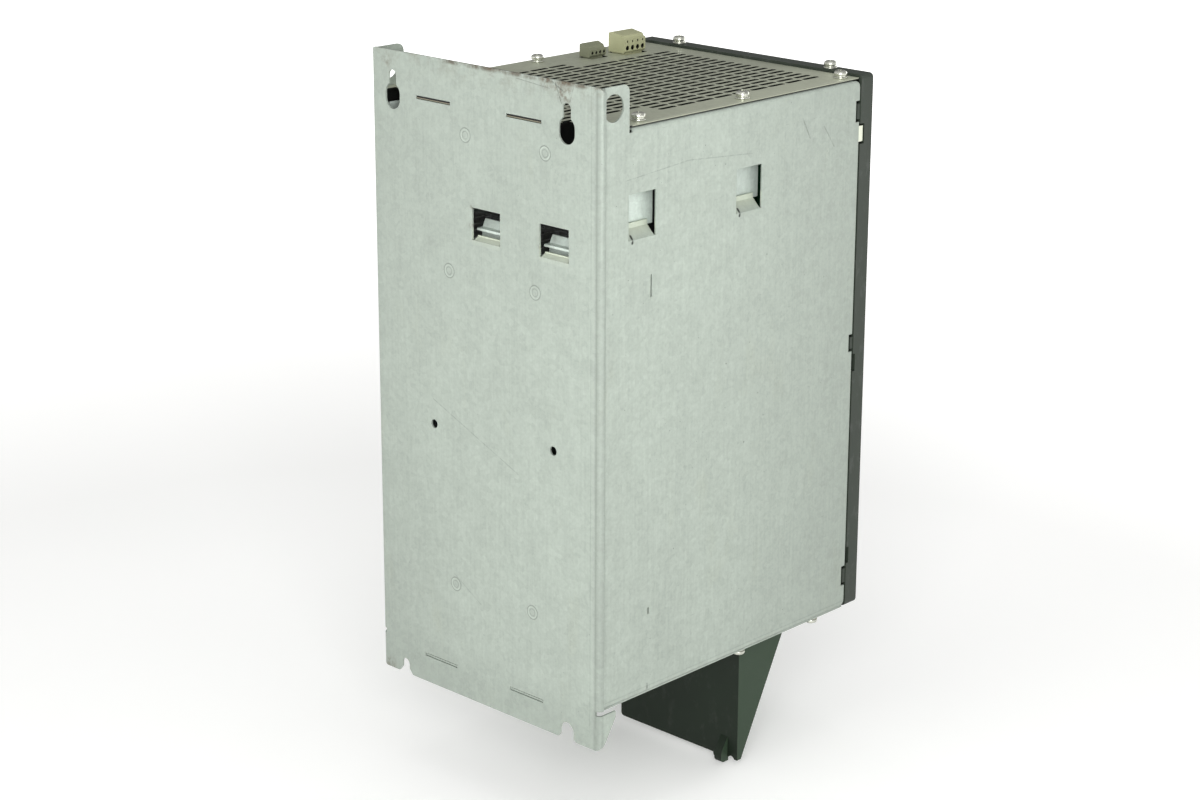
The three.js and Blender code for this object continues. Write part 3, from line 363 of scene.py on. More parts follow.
def painted_shade_places(tree, paint, color):
    """Painted shade: the bend at the right, the back's foot, top and left, and the right side's front are
    painted darker.
    """
    # Painted shade on the rounded bend at the right rear corner, toning down its highlight.
    bead = tree.inside((None, -4, None), (-97.2, None, None), 1.0)
    paint = tree.tint(paint, bead, 0.36, shade(color, 0.42))
    # Painted shade on the back: darker towards its foot, its top and its left.
    back = tree.facing("Y", 0.5, 0.9)
    for place, amount in (
        (tree.along("Z", 12, -12), 0.22),
        (tree.along("Z", 220, 320), 0.13),
        (tree.along("X", 20, 100), 0.14),
    ):
        paint = tree.tint(paint, tree.math("MULTIPLY", place, back), amount, shade(color, 0.45))
    # Painted shade, darker towards the front of the right side.
    side = tree.math("MULTIPLY", tree.along("Y", -100, -262), tree.facing("X", -0.3, -0.8))
    return tree.tint(paint, side, 0.36, shade(color, 0.55))


def tongues(tree, paint, color):
    """Painted light on the bends of the windows' tongues, and painted shade in the cut at the side tongues'
    rear edge.
    """
    # A warm light colour for the painted light on the tongues.
    warm = (color[0] * 2.05, color[1] * 1.95, color[2] * 1.70, 1.0)
    for y0, y1 in SIDE_WINDOWS_Y:
        tongue = tree.inside((-100.2, y0, 302), (-90, y1, 315), 0.4)
        lit = tree.along("Z", 304, 310, 0.05, 0.36)
        paint = tree.mix(tree.math("MULTIPLY", tongue, lit), paint, warm)
        # Painted shade in the cut beside the tongue's rear edge.
        cut = tree.near_line((-98.2, y1 - 4.4, 306.4), (SIDE_X, y1 - 3.4, 302.3), 1.2)
        paint = tree.tint(paint, cut, 0.95, PAINTED_GAP_SHADE)
    # Painted light on the rear windows' tongues.
    for x0, x1 in REAR_WINDOWS_X:
        tongue = tree.inside((x0, -6, 287.5), (x1, -0.1, 297.5), 0.3)
        lit = tree.along("Z", 289.5, 293.5, 0.20, 0.55)
        paint = tree.mix(tree.math("MULTIPLY", tongue, lit), paint, warm)
    return paint


def bend_lines(tree, paint, color):
    """Thin dark lines along the bends at the right rear corner and along the foot of the right side."""
    for low, high, soft, amount in (
        ((-94.2, -0.5, -10), (-93.4, None, 402), 0.3, 0.16),
        ((-99.0, -0.5, -10), (-98.0, None, 402), 0.3, 0.16),
        ((None, -248, 5.0), (-99, -5, 5.6), 0.3, 0.22),
        ((None, -4.9, 0), (-99, -3.9, 402), 0.2, 0.75),
    ):
        paint = tree.tint(paint, tree.inside(low, high, soft), amount, shade(color, 0.30))
    return paint


def soiled_rim(tree, paint, coarse):
    rim = tree.inside((None, -10, 392.5), (None, None, None), 9.0)
    paint = tree.mix(tree.math("MULTIPLY", rim, tree.remap(coarse, 0.46, 0.70, 0.0, 0.45)), paint, GRIME)
    edge = tree.inside((-93, -2, 399.6), (35, None, None), 0.8)
    return tree.mix(tree.math("MULTIPLY", edge, tree.remap(coarse, 0.40, 0.56, 0.0, 0.75)), paint, WORN_EDGE)


def clinch_rings(tree, paint, color):
    rings = ((4.6, 0.6, 0.45, 0.30), (3.8, 0.6, 0.30, 1.55), (2.4, 0.5, 0.30, 0.30))
    for x, z in CLINCH_RINGS:
        for radius, width, amount, tone in rings:
            ring = tree.near_ring((x, 0, z), radius, width)
            paint = tree.tint(paint, ring, amount, shade(color, tone))
    return paint


def entries_of(node, pitch, radius):
    """Blocks around the wire entries and release slots of a plug on the lid, in millimetres, for painted
    shade.
    """
    low, high = (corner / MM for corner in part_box(node))
    under, brow = 375.6, high.z - 3.4
    middle = (low.y + high.y) / 2
    blocks = []
    for pole in range(4):
        y = middle + (pole - 1.5) * pitch
        for x0, x1, reach, z0, z1 in (
            (0.5, 7.2, radius * 1.1, under + 1.7, under + 2.1 + 2 * radius),
            (0.2, 1.3, radius * 0.5, brow - 3.4, brow - 1.4),
        ):
            blocks.append(((low.x + x0, y - reach, z0), (low.x + x1, y + reach, z1)))
    return blocks


def moulded(name, color, roughness=0.5, dust=0.12, scale=900.0, shine=0.5, holes=(), cheek=0.0):
    """Moulded plastic: fine grain, flow marks and dust; painted shade in its holes, painted light on its
    right cheek.
    """
    tree = Tree(name, color, roughness, Specular_IOR_Level=shine)
    grain_noise = tree.noise(scale, 3.0, 0.6)
    flow = tree.noise(22.0, 5.0, 0.6)
    paint = tree.mix(tree.remap(flow, 0.35, 0.68), shade(color, 0.90), shade(color, 1.12))
    dusty = tuple(channel * 0.7 + 0.12 for channel in color) + (1.0,)
    specks = tree.noise(1.0, 6.0, 0.72, stretch=(130, 130, 70))
    paint = tree.mix(tree.remap(specks, 0.55, 0.78, 0.0, dust * 3), paint, dusty)
    # Painted shade in the holes.
    for low, high in holes:
        paint = tree.mix(tree.inside(low, high, 0.1), paint, (0.004, 0.004, 0.003, 1.0))
    # Painted light on the right cheek.
    if cheek:
        paint = tree.mix(tree.facing("X", -0.3, -0.8), paint, shade(color, 1.0 + cheek))
    tree.set("Base Color", paint)
    tree.set("Roughness", tree.remap(flow, 0.3, 0.7, roughness - 0.06, roughness + 0.08))
    tree.bump(grain_noise, GRAIN_DEPTH)
    return tree.material


def plated(name, color, roughness=0.22):
    """Bright plated steel with faint turning marks and tarnish."""
    tree = Tree(name, color, roughness, Metallic=0.95)
    tarnish = tree.noise(420.0, 5.0, 0.65)
    fine = tree.noise(2600.0, 2.0, 0.5)
    tree.set("Base Color", tree.mix(tree.remap(tarnish, 0.42, 0.70), shade(color, 1.08), shade(color, 0.66)))
    tree.set("Roughness", tree.remap(tarnish, 0.35, 0.7, roughness - 0.05, roughness + 0.16))
    tree.bump(fine, 0.00002)
    return tree.material


def extruded(name, color):
    """Extruded aluminium with drawing lines along Z."""
    tree = Tree(name, color, 0.38, Metallic=0.85)
    lines = tree.noise(1.0, 3.0, 0.6, stretch=(2400, 2400, 16))
    clouds = tree.noise(30.0, 4.0, 0.6)
    tree.set("Base Color", tree.mix(tree.remap(clouds, 0.35, 0.7), shade(color, 0.88), shade(color, 1.05)))
    tree.set("Roughness", tree.remap(lines, 0.3, 0.7, 0.28, 0.50))
    tree.bump(lines, 0.00004)
    return tree.material


def board(name, color):
    """Lacquered circuit board: tracks and pads as a pattern under the lacquer."""
    tree = Tree(name, color, 0.32)
    tracks = tree.add(
        "ShaderNodeTexBrick",
        {"Vector": tree.stretched((90, 1, 90)), "Scale": 3.0, "Mortar Size": 0.035, "Brick Width": 0.9},
    ).outputs["Fac"]
    copper = tree.mix(tracks, shade(color, 1.0), shade(color, 1.7))
    pads = tree.cells(330.0, output="Distance")
    solder = tree.remap(pads, 0.10, 0.16, 1.0, 0.0)
    paint = tree.mix(tree.math("MULTIPLY", solder, 0.7), copper, (0.42, 0.43, 0.42, 1.0))
    tree.set("Base Color", paint)
    tree.set("Roughness", tree.remap(solder, 0.0, 1.0, 0.34, 0.22))
    tree.bump(solder, 0.00015)
    return tree.material


def sleeve(name, color):
    """Shrink sleeve of a capacitor, with a lighter stripe."""
    tree = Tree(name, color, 0.28)
    wrinkle = tree.noise(1.0, 4.0, 0.6, stretch=(500, 90, 500))
    tree.set("Base Color", tree.mix(tree.remap(wrinkle, 0.45, 0.75), shade(color, 0.85), shade(color, 1.6)))
    tree.bump(wrinkle, 0.0001)
    return tree.material


def wound_tape(name, color):
    """Polyester tape wound on a transformer."""
    tree = Tree(name, color, 0.35)
    bands = tree.add("ShaderNodeTexWave", {"Vector": tree.coord, "Scale": 60.0, "Distortion": 1.0}).outputs[0]
    tree.set("Base Color", tree.mix(tree.remap(bands, 0.4, 0.7), shade(color, 0.85), shade(color, 1.15)))
    tree.bump(bands, 0.0001)
    return tree.material


def smoked(name, color):
    """Polished dark window with fine wiping marks."""
    tree = Tree(name, color, 0.08, Coat_Weight=0.5)
    wipes = tree.noise(1.0, 4.0, 0.6, stretch=(60, 60, 700))
    tree.set("Base Color", tree.mix(tree.remap(wipes, 0.5, 0.8), shade(color, 1.0), shade(color, 1.8)))
    tree.set("Roughness", tree.remap(wipes, 0.45, 0.8, 0.06, 0.22))
    return tree.material


def glowing(name, color, strength):
    """Lens of an indicator lamp."""
    tree = Tree(name, color, 0.2, Emission_Strength=strength)
    core = tree.noise(1400.0, 2.0, 0.5)
    paint = tree.mix(tree.remap(core, 0.3, 0.7), shade(color, 0.8), shade(color, 1.2))
    tree.set("Base Color", paint)
    tree.set("Emission Color", (*color, 1.0))
    return tree.material


def build_materials():
    zinc = (0.374, 0.423, 0.373)
    return {
        "galvanised_sheet": sheet_metal("galvanised_sheet", zinc).material,
        "lid_sheet": lid_metal("lid_sheet", (0.445, 0.470, 0.366)).material,
        # Painted light: the inner walls' sheet is a much lighter copy of the galvanised sheet.
        "inner_sheet": wall_metal("inner_sheet", (0.60, 0.68, 0.62)).material,
        "zinc_screw": plated("zinc_screw", (0.60, 0.61, 0.54), 0.22),
        "gold_contact": plated("gold_contact", (0.75, 0.55, 0.22), 0.25),
        "aluminium": extruded("aluminium", (0.62, 0.63, 0.62)),
        "guard_wire": plated("guard_wire", (0.58, 0.60, 0.58), 0.3),
        "cover_black": moulded("cover_black", (0.026, 0.034, 0.025), 0.46, shine=0.32),
        "guard_black": moulded(
            "guard_black", (0.009, 0.015, 0.009), 0.42, dust=0.05, shine=0.20, cheek=2.2,
        ),
        "plug_ivory": moulded(
            "plug_ivory", (0.365, 0.373, 0.216), 0.48, scale=1400.0,
            holes=entries_of("supply_plug", 5.08, 1.75),
        ),
        "plug_grey": moulded(
            "plug_grey", (0.17, 0.18, 0.115), 0.5, scale=1400.0,
            holes=entries_of("trigger_plug", 3.81, 1.1),
        ),
        "plug_green": moulded("plug_green", (0.055, 0.19, 0.075), 0.45, scale=1400.0),
        "black_plastic": moulded("black_plastic", (0.018, 0.018, 0.018), 0.42),
        "smoked_window": smoked("smoked_window", (0.012, 0.010, 0.009)),
        "key_rubber": moulded("key_rubber", (0.16, 0.175, 0.165), 0.62, scale=1800.0),
        "door_grey": moulded("door_grey", (0.30, 0.32, 0.30), 0.48),
        "board_green": board("board_green", (0.018, 0.085, 0.035)),
        "capacitor_sleeve": sleeve("capacitor_sleeve", (0.02, 0.03, 0.055)),
        "transformer_tape": wound_tape("transformer_tape", (0.46, 0.32, 0.07)),
        "module_grey": moulded("module_grey", (0.12, 0.13, 0.128), 0.48),
        "dark_cavity": moulded("dark_cavity", (0.010, 0.011, 0.010), 0.7),
        "lamp_green": glowing("lamp_green", (0.05, 0.55, 0.10), 0.6),
        "lamp_amber": glowing("lamp_amber", (0.80, 0.32, 0.02), 0.4),
        "lamp_off": glowing("lamp_off", (0.35, 0.30, 0.28), 0.0),
    }


MATERIALS = build_materials()


# ---------------------------------------------------------------- pieces


def new_piece(name, mesh, material, body, nodes=()):
    """A visual piece that rides on a CAD body and may stand for CAD nodes."""
    obj = bpy.data.objects.new(name, mesh)
    bpy.context.scene.collection.objects.link(obj)
    obj.data.materials.clear()
    obj.data.materials.append(MATERIALS[material])
    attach(obj, body)
    if nodes:
        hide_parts(*nodes)
    return obj


def soften(obj, width, segments=2, angle=35.0):
    """Rounds the edges a little and shades the rest smooth."""
    for polygon in obj.data.polygons:
        polygon.use_smooth = True
    bevel = obj.modifiers.new("edges", "BEVEL")
    bevel.width = width
    bevel.segments = segments
    bevel.limit_method = "ANGLE"
    bevel.angle_limit = math.radians(angle)
    bevel.harden_normals = True
    return obj


def cleaned(mesh, flat=0.6):
    """A copy with shared vertices and with coplanar triangles joined."""
    copy = mesh.copy()
    bm = bmesh.new()
    bm.from_mesh(copy)
    bmesh.ops.remove_doubles(bm, verts=bm.verts, dist=2e-5)
    bmesh.ops.dissolve_limit(bm, angle_limit=math.radians(flat), verts=bm.verts, edges=bm.edges)
    sharp = math.radians(32)
    for edge in bm.edges:
        edge.smooth = len(edge.link_faces) == 2 and edge.calc_face_angle(0.0) < sharp
    bm.to_mesh(copy)
    bm.free()
    return copy


def refined(node, width=0.3, segments=2, material=None):
    """The CAD node's shape with softened edges, in place of the node."""
    slot = SLOT_OF[node]
    mesh = cleaned(NODES[node].data)
    obj = new_piece(f"{node}_skin", mesh, material or slot, BODY_OF[node], [node])
    return soften(obj, width * MM, segments)


def mesh_from(bm, name):
    mesh = bpy.data.meshes.new(name)
    bmesh.ops.recalc_face_normals(bm, faces=bm.faces)
    bm.to_mesh(mesh)
    bm.free()
    return mesh


def lathe(profile, steps=32):
    """A bmesh of a profile of (radius, height) turned about Z through the origin."""
    bm = bmesh.new()
    rings = []
    for radius, height in profile:
        if radius < 1e-9:
            rings.append([bm.verts.new((0, 0, height))])
            continue
        ring = []
        for i in range(steps):
            angle = 2 * math.pi * i / steps
            ring.append(bm.verts.new((radius * math.cos(angle), radius * math.sin(angle), height)))
        rings.append(ring)
    for below, above in zip(rings, rings[1:]):
        for i in range(steps):
            j = (i + 1) % steps
            low = [below[i % len(below)], below[j % len(below)]]
            high = [above[j % len(above)], above[i % len(above)]]
            corners = list(dict.fromkeys(low + high))
            if len(corners) > 2:
                bm.faces.new(corners)
    return bm


def box_bm(bm, low, high, chamfer=0.0):
    """Adds a block between two corners, with its edges bevelled."""
    made = bmesh.ops.create_cube(bm, size=1.0)["verts"]
    low, high = Vector(low), Vector(high)
    size = high - low
    centre = (high + low) / 2
    for vert in made:
        vert.co = Vector(c * s for c, s in zip(vert.co, size)) + centre
    if chamfer > 0:
        edges = list({edge for vert in made for edge in vert.link_edges})
        bmesh.ops.bevel(bm, geom=edges, offset=chamfer, segments=2, affect="EDGES", profile=0.6)


def rounded_outline(x0, x1, y0, y1, radius, steps=4):
    points = []
    for cx, cy, start in (
        (x1 - radius, y1 - radius, 0),
        (x0 + radius, y1 - radius, 90),
        (x0 + radius, y0 + radius, 180),
        (x1 - radius, y0 + radius, 270),
    ):
        for i in range(steps + 1):
            angle = math.radians(start + 90 * i / steps)
            points.append((cx + radius * math.cos(angle), cy + radius * math.sin(angle)))
    return points


def plate_mesh(name, outline, holes, thickness, bevel):
    """A flat plate in XY with holes, centred on z = 0, made from a filled curve."""
    curve = bpy.data.curves.new(name, "CURVE")
    curve.dimensions = "2D"
    curve.fill_mode = "BOTH"
    curve.extrude = thickness / 2 - bevel
    curve.bevel_depth = bevel
    curve.bevel_resolution = 1
    for points in [outline, *holes]:
        spline = curve.splines.new("POLY")
        spline.points.add(len(points) - 1)
        for point, (x, y) in zip(spline.points, points):
            point.co = (x, y, 0, 1)
        spline.use_cyclic_u = True
    holder = bpy.data.objects.new(name, curve)
    bpy.context.scene.collection.objects.link(holder)
    bpy.context.view_layer.update()
    mesh = bpy.data.meshes.new_from_object(holder.evaluated_get(bpy.context.evaluated_depsgraph_get()))
    bpy.data.objects.remove(holder)
    bpy.data.curves.remove(curve)
    return mesh


# ---------------------------------------------------------------- lid with its air slots


def circle_points(x, y, radius, steps=20):
    turns = [2 * math.pi * i / steps for i in range(steps)]
    return [(x + radius * math.cos(a), y + radius * math.sin(a)) for a in turns]


def node_outline_points(node, z, tolerance=2e-5):
    """The boundary loops of the CAD node's flat face at a height."""
    bm = bmesh.new()
    bm.from_mesh(NODES[node].data)
    bmesh.ops.remove_doubles(bm, verts=bm.verts, dist=2e-5)
    flat = [f for f in bm.faces if all(abs(v.co.z - z) < tolerance for v in f.verts)]
    members = set(flat)
    # A dict keeps the edges in the order in which they are found, so each run gives the same loops.
    rim = dict.fromkeys(e for f in flat for e in f.edges if len(members.intersection(e.link_faces)) == 1)
    loops = []
    while rim:
        edge, _ = rim.popitem()
        first, last = edge.verts
        loop = [first, last]
        while last is not first:
            step = next(e for e in last.link_edges if e in rim)
            del rim[step]
            last = step.other_vert(last)
            loop.append(last)
        loops.append([(v.co.x, v.co.y) for v in loop[:-1]])
    bm.free()
    return loops


def obround(points):
    """A slot's four corners turned into a slot with rounded ends."""
    xs = [p[0] for p in points]
    ys = [p[1] for p in points]
    radius = (max(xs) - min(xs)) * 0.42
    return rounded_outline(min(xs), max(xs), min(ys), max(ys), radius, 3)


def make_lid():
    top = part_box("top_grille")[1].z
    loops = node_outline_points("top_grille", top)
    loops.sort(key=lambda loop: -(max(p[0] for p in loop) - min(p[0] for p in loop)))
    outline, holes = loops[0], []
    for loop in loops[1:]:
        width = max(p[0] for p in loop) - min(p[0] for p in loop)
        if len(loop) == 4 and width < 5 * MM:
            holes.append(obround(loop))
        elif len(loop) > 4 and width < 6 * MM:
            xs = [p[0] for p in loop]
            ys = [p[1] for p in loop]
            holes.append(circle_points((min(xs) + max(xs)) / 2, (min(ys) + max(ys)) / 2, 2.2 * MM))
        else:
            holes.append(loop)
    mesh = plate_mesh("lid", outline, holes, 1.2 * MM, 0.12 * MM)
    mesh.transform(Matrix.Translation((0, 0, top - 0.6 * MM)))
    lid = new_piece("top_grille_skin", mesh, "lid_sheet", "chassis", ["top_grille"])
    lid.data.polygons.foreach_set("use_smooth", [False] * len(lid.data.polygons))


# ---------------------------------------------------------------- screws


def screw_mesh():
    """A pan head screw with a cross recess, a spring washer and a flat washer, standing on z = 0."""
    profile = [
        (0, -4), (1.75, -4), (1.75, 0.12), (4.5, 0.12), (4.6, 0.25), (4.6, 0.85), (4.5, 0.98), (3.0, 1.0),
        (3.0, 1.06), (3.74, 1.1), (3.8, 1.5), (3.74, 2.0), (3.1, 2.05), (3.1, 2.12), (4.3, 2.16), (4.4, 2.3),
        (4.38, 3.3), (4.22, 3.95), (3.75, 4.5), (2.9, 4.95), (1.6, 5.22), (0, 5.3),
    ]
    bm = lathe([(radius * MM, height * MM) for radius, height in profile], 40)
    mesh = mesh_from(bm, "screw")
    holder = bpy.data.objects.new("screw_blank", mesh)
    recess = bmesh.new()
    for turn in (0, 90):
        before = set(recess.verts)
        box_bm(recess, (-2.5 * MM, -0.5 * MM, 3.1 * MM), (2.5 * MM, 0.5 * MM, 7 * MM))
        fresh = [v for v in recess.verts if v not in before]
        for vert in fresh:
            if vert.co.z < 3.5 * MM:
                vert.co.x *= 0.35
        bmesh.ops.rotate(recess, verts=fresh, matrix=Matrix.Rotation(math.radians(turn), 3, "Z"))
    tool = bpy.data.objects.new("screw_recess", mesh_from(recess, "recess"))
    for obj in (holder, tool):
        bpy.context.scene.collection.objects.link(obj)
    boolean = holder.modifiers.new("recess", "BOOLEAN")
    boolean.operation = "DIFFERENCE"
    boolean.solver = "EXACT"
    boolean.use_self = True
    boolean.object = tool
    bpy.context.view_layer.update()
    cut = bpy.data.meshes.new_from_object(holder.evaluated_get(bpy.context.evaluated_depsgraph_get()))
    bpy.data.objects.remove(holder)
    bpy.data.objects.remove(tool)
    bm = bmesh.new()
    bm.from_mesh(cut)
    for edge in bm.edges:
        edge.smooth = len(edge.link_faces) == 2 and edge.calc_face_angle(0.0) < math.radians(38)
    for face in bm.faces:
        face.smooth = True
    bm.to_mesh(cut)
    bm.free()
    return cut


def make_screws():
    master = screw_mesh()
    names = [n for n in NODES if n.startswith(("top_screw", "cover_screw", "bottom_screw"))]
    for index, name in enumerate(sorted(names)):
        low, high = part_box(name)
        centre = (low + high) / 2
        upright = not name.startswith("bottom")
        foot = low.z + LID_SCREW_SHANK * MM if upright else high.z - LID_SCREW_SHANK * MM
        mesh = master.copy()
        turn = Matrix.Rotation(math.radians(17 + 41 * index), 4, "Z")
        flip = Matrix.Identity(4) if upright else Matrix.Rotation(math.pi, 4, "X")
        mesh.transform(Matrix.Translation((centre.x, centre.y, foot)) @ flip @ turn)
        new_piece(f"{name}_skin", mesh, "zinc_screw", "chassis", [name])


# ---------------------------------------------------------------- back plate details


def make_clinch_marks():
    """Round clinched joints: a raised button in a shallow ring."""
    profile = [
        (4.7, -0.05), (4.5, 0.05), (4.1, 0.30), (3.7, 0.33), (3.35, 0.12), (3.1, 0.03), (2.7, 0.10),
        (2.2, 0.26), (1.2, 0.30), (0, 0.30),
    ]
    for index, (x, z) in enumerate(CLINCHES):
        bm = lathe([(r * MM, h * MM) for r, h in profile], 36)
        bmesh.ops.rotate(bm, verts=bm.verts, matrix=Matrix.Rotation(-math.pi / 2, 3, "X"))
        bmesh.ops.translate(bm, verts=bm.verts, vec=(x * MM, 0, z * MM))
        mesh = mesh_from(bm, "clinch")
        mesh.polygons.foreach_set("use_smooth", [True] * len(mesh.polygons))
        new_piece(f"clinch_mark_{index + 1}", mesh, "galvanised_sheet", "chassis")


# ---------------------------------------------------------------- the other CAD shapes, with softened edges

# How far each piece's edges are rounded, in millimetres.
SOFTEN = {
    "back_plate": 0.35, "side_panel_left": 0.3, "side_panel_right": 0.3, "bottom_panel": 0.25,
    "front_frame": 0.25, "cross_rail": 0.25, "inner_wall_left": 0.2, "inner_wall_right": 0.2,
    "partition_plate": 0.2, "front_cover": 0.6, "terminal_guard": 0.6, "supply_plug": 0.4,
    "trigger_plug": 0.35, "supply_header": 0.2, "trigger_header": 0.2, "motor_header": 0.4,
    "mains_header": 0.4, "motor_plug": 0.5, "mains_plug": 0.5, "service_door": 0.5,
    "status_window": 0.5, "key_1": 0.5, "key_2": 0.5, "key_3": 0.5, "fieldbus_module": 0.6,
    "encoder_module": 0.6, "io_header": 0.3, "io_plug_left": 0.35, "io_plug_right": 0.35,
    "encoder_ports": 0.4, "service_port": 0.4, "fan_frame_left": 0.5, "fan_frame_right": 0.5,
    "fan_guard_left": 0.5, "fan_guard_right": 0.5, "fan_rotor_left": 0.4, "fan_rotor_right": 0.4,
    "heatsink": 0.3, "power_module": 0.8, "smps_transformer": 0.8, "link_capacitor_1": 1.0,
    "link_capacitor_2": 1.0, "link_capacitor_3": 1.0, "link_capacitor_4": 1.0,
}


def make_refined():
    for node, width in SOFTEN.items():
        refined(node, width)
    for node in ("power_board", "control_board", "interface_board"):
        refined(node, 0.15, 1)


def detail(name, bm, material, node, slot=None):
    """A small visual piece that moves with a CAD node's body."""
    obj = new_piece(name, mesh_from(bm, name), material, BODY_OF[node])
    return soften(obj, 0.08 * MM, 1)


def add_disc(bm, centre, axis, radius, height, steps=18):
    """A low dome on an axis: -Y towards the front, -Z downwards."""
    dome = [(radius, -height), (radius, height * 0.5), (radius * 0.86, height), (0, height * 1.1)]
    made = lathe(dome, steps)
    turn = {"-Y": Matrix.Rotation(math.pi / 2, 4, "X"), "-Z": Matrix.Rotation(math.pi, 4, "X")}[axis]
    made.transform(Matrix.Translation(centre) @ turn)
    mesh = bpy.data.meshes.new("disc")
    made.to_mesh(mesh)
    made.free()
    bm.from_mesh(mesh)
    bpy.data.meshes.remove(mesh)


def block_at(bm, centre, size, chamfer=0.0):
    half = Vector(size) / 2
    box_bm(bm, Vector(centre) - half, Vector(centre) + half, chamfer)


def make_signal_plugs():
    """Clamping screws in the two signal plugs."""
    for node in ("io_plug_left", "io_plug_right"):
        low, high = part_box(node)
        heads, slots = bmesh.new(), bmesh.new()
        pitch = (high.x - low.x + 0.8 * MM) / 15
        for pole in range(15):
            x = low.x - 0.4 * MM + (pole + 0.5) * pitch
            z = high.z - 5.4 * MM
            add_disc(heads, (x, low.y, z), "-Y", 1.7 * MM, 0.16 * MM)
            angle = math.radians(35 + 47 * pole)
            fresh = set(slots.verts)
            block_at(slots, (0, 0, 0), (3.0 * MM, 0.12 * MM, 0.5 * MM))
            fresh = [v for v in slots.verts if v not in fresh]
            bmesh.ops.rotate(slots, verts=fresh, matrix=Matrix.Rotation(angle, 3, "Y"))
            bmesh.ops.translate(slots, verts=fresh, vec=(x, low.y - 0.16 * MM, z))
        detail(f"{node}_screws", heads, "zinc_screw", node)
        detail(f"{node}_screw_slots", slots, "dark_cavity", node)


def make_power_plugs():
    """Clamping screws on the front of the motor and mains plugs."""
    for node, poles in (("motor_plug", 6), ("mains_plug", 5)):
        low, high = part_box(node)
        heads, slots = bmesh.new(), bmesh.new()
        pitch = (high.x - low.x - 4 * MM) / poles
        for pole in range(poles):
            x = low.x + 2 * MM + (pole + 0.5) * pitch
            z = low.z + 14 * MM
            add_disc(heads, (x, low.y, z), "-Y", 3.1 * MM, 0.3 * MM, 24)
            block_at(slots, (x, low.y - 0.3 * MM, z), (5.4 * MM, 0.16 * MM, 0.8 * MM))
        detail(f"{node}_screws", heads, "zinc_screw", node)
        detail(f"{node}_screw_slots", slots, "dark_cavity", node)


def make_sockets():
    """Contacts in the network sockets and pins in the encoder connectors."""
    contacts = bmesh.new()
    for z in (288, 262):
        for pin in range(8):
            x = 27 + (pin - 3.5) * 1.05
            block_at(contacts, (x * MM, -0.2560, (z + 3.6) * MM), (0.45 * MM, 9 * MM, 0.5 * MM))
    detail("network_contacts", contacts, "gold_contact", "fieldbus_module")
    pins = bmesh.new()
    for row, z in enumerate((49.8, 46.4)):
        for side in (-30, 30):
            for pin in range(12 - row):
                x = side + (pin - (11 - row) / 2) * 2.0
                block_at(pins, (x * MM, -0.2520, z * MM), (0.6 * MM, 4.5 * MM, 0.6 * MM))
    detail("encoder_pins", pins, "gold_contact", "encoder_ports")
    strip = bmesh.new()
    for pin in range(11):
        block_at(strip, (0.0710, -0.2580, (254.5 + 2.9 * pin) * MM), (3.2 * MM, 1.2 * MM, 0.8 * MM))
    detail("encoder_slot_contacts", strip, "gold_contact", "encoder_module")
    service = bmesh.new()
    for pin in range(9):
        block_at(service, ((-56 + 2 * pin) * MM, -0.2510, 0.2690), (0.6 * MM, 3.4 * MM, 0.6 * MM))
    detail("service_pins", service, "gold_contact", "service_port")


def make_faceplate_screws():
    """Screwdriver slots in the option modules' fixing screws, and their small lamps."""
    for node in ("fieldbus_module", "encoder_module"):
        low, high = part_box(node)
        middle = (low.x + high.x) / 2
        heads, slots = bmesh.new(), bmesh.new()
        for z, turn in ((low.z + 8 * MM, 25), (high.z - 8 * MM, -50)):
            add_disc(heads, (middle, low.y, z), "-Y", 3.6 * MM, 0.3 * MM, 28)
            fresh = set(slots.verts)
            block_at(slots, (0, 0, 0), (6.4 * MM, 0.2 * MM, 0.9 * MM))
            fresh = [v for v in slots.verts if v not in fresh]
            bmesh.ops.rotate(slots, verts=fresh, matrix=Matrix.Rotation(math.radians(turn), 3, "Y"))
            bmesh.ops.translate(slots, verts=fresh, vec=(middle, low.y - 0.32 * MM, z))
        detail(f"{node}_fixing_screws", heads, "zinc_screw", node)
        detail(f"{node}_fixing_slots", slots, "dark_cavity", node)
        for index, material in enumerate(("lamp_green", "lamp_amber")):
            lens = bmesh.new()
            place = (middle + (index * 6 - 3) * MM, low.y + 1.4 * MM, high.z - 20 * MM)
            add_disc(lens, place, "-Y", 1.3 * MM, 0.6 * MM)
            detail(f"{node}_lamp_{index + 1}", lens, material, node)


def make_window_lamps():
    """Indicator lamps in the status window."""
    low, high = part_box("status_window")
    z = (low.z + high.z) / 2
    for index, material in enumerate(("lamp_green", "lamp_amber", "lamp_off")):
        lens = bmesh.new()
        add_disc(lens, (low.x + (7 + 7 * index) * MM, low.y, z), "-Y", 1.5 * MM, 0.35 * MM)
        detail(f"status_lamp_{index + 1}", lens, material, "status_window")


def make_clip_seats():
    """The side sheets' edge behind each clip of the cover, between the notches at the clip's ends."""
    for side, node in ((-1, "side_panel_right"), (1, "side_panel_left")):
        seats = bmesh.new()
        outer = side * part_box("side_panel_left")[1].x
        inner = outer - side * 1.2 * MM
        for z0, z1 in CLIP_NOTCHES_Z:
            low = (min(inner, outer), (SIDE_FRONT + 2.3) * MM, (z0 + 2.4) * MM)
            high = (max(inner, outer), (SIDE_FRONT + 3.7) * MM, (z1 - 2.4) * MM)
            box_bm(seats, low, high)
        detail(f"{node}_clip_seats", seats, "galvanised_sheet", node)


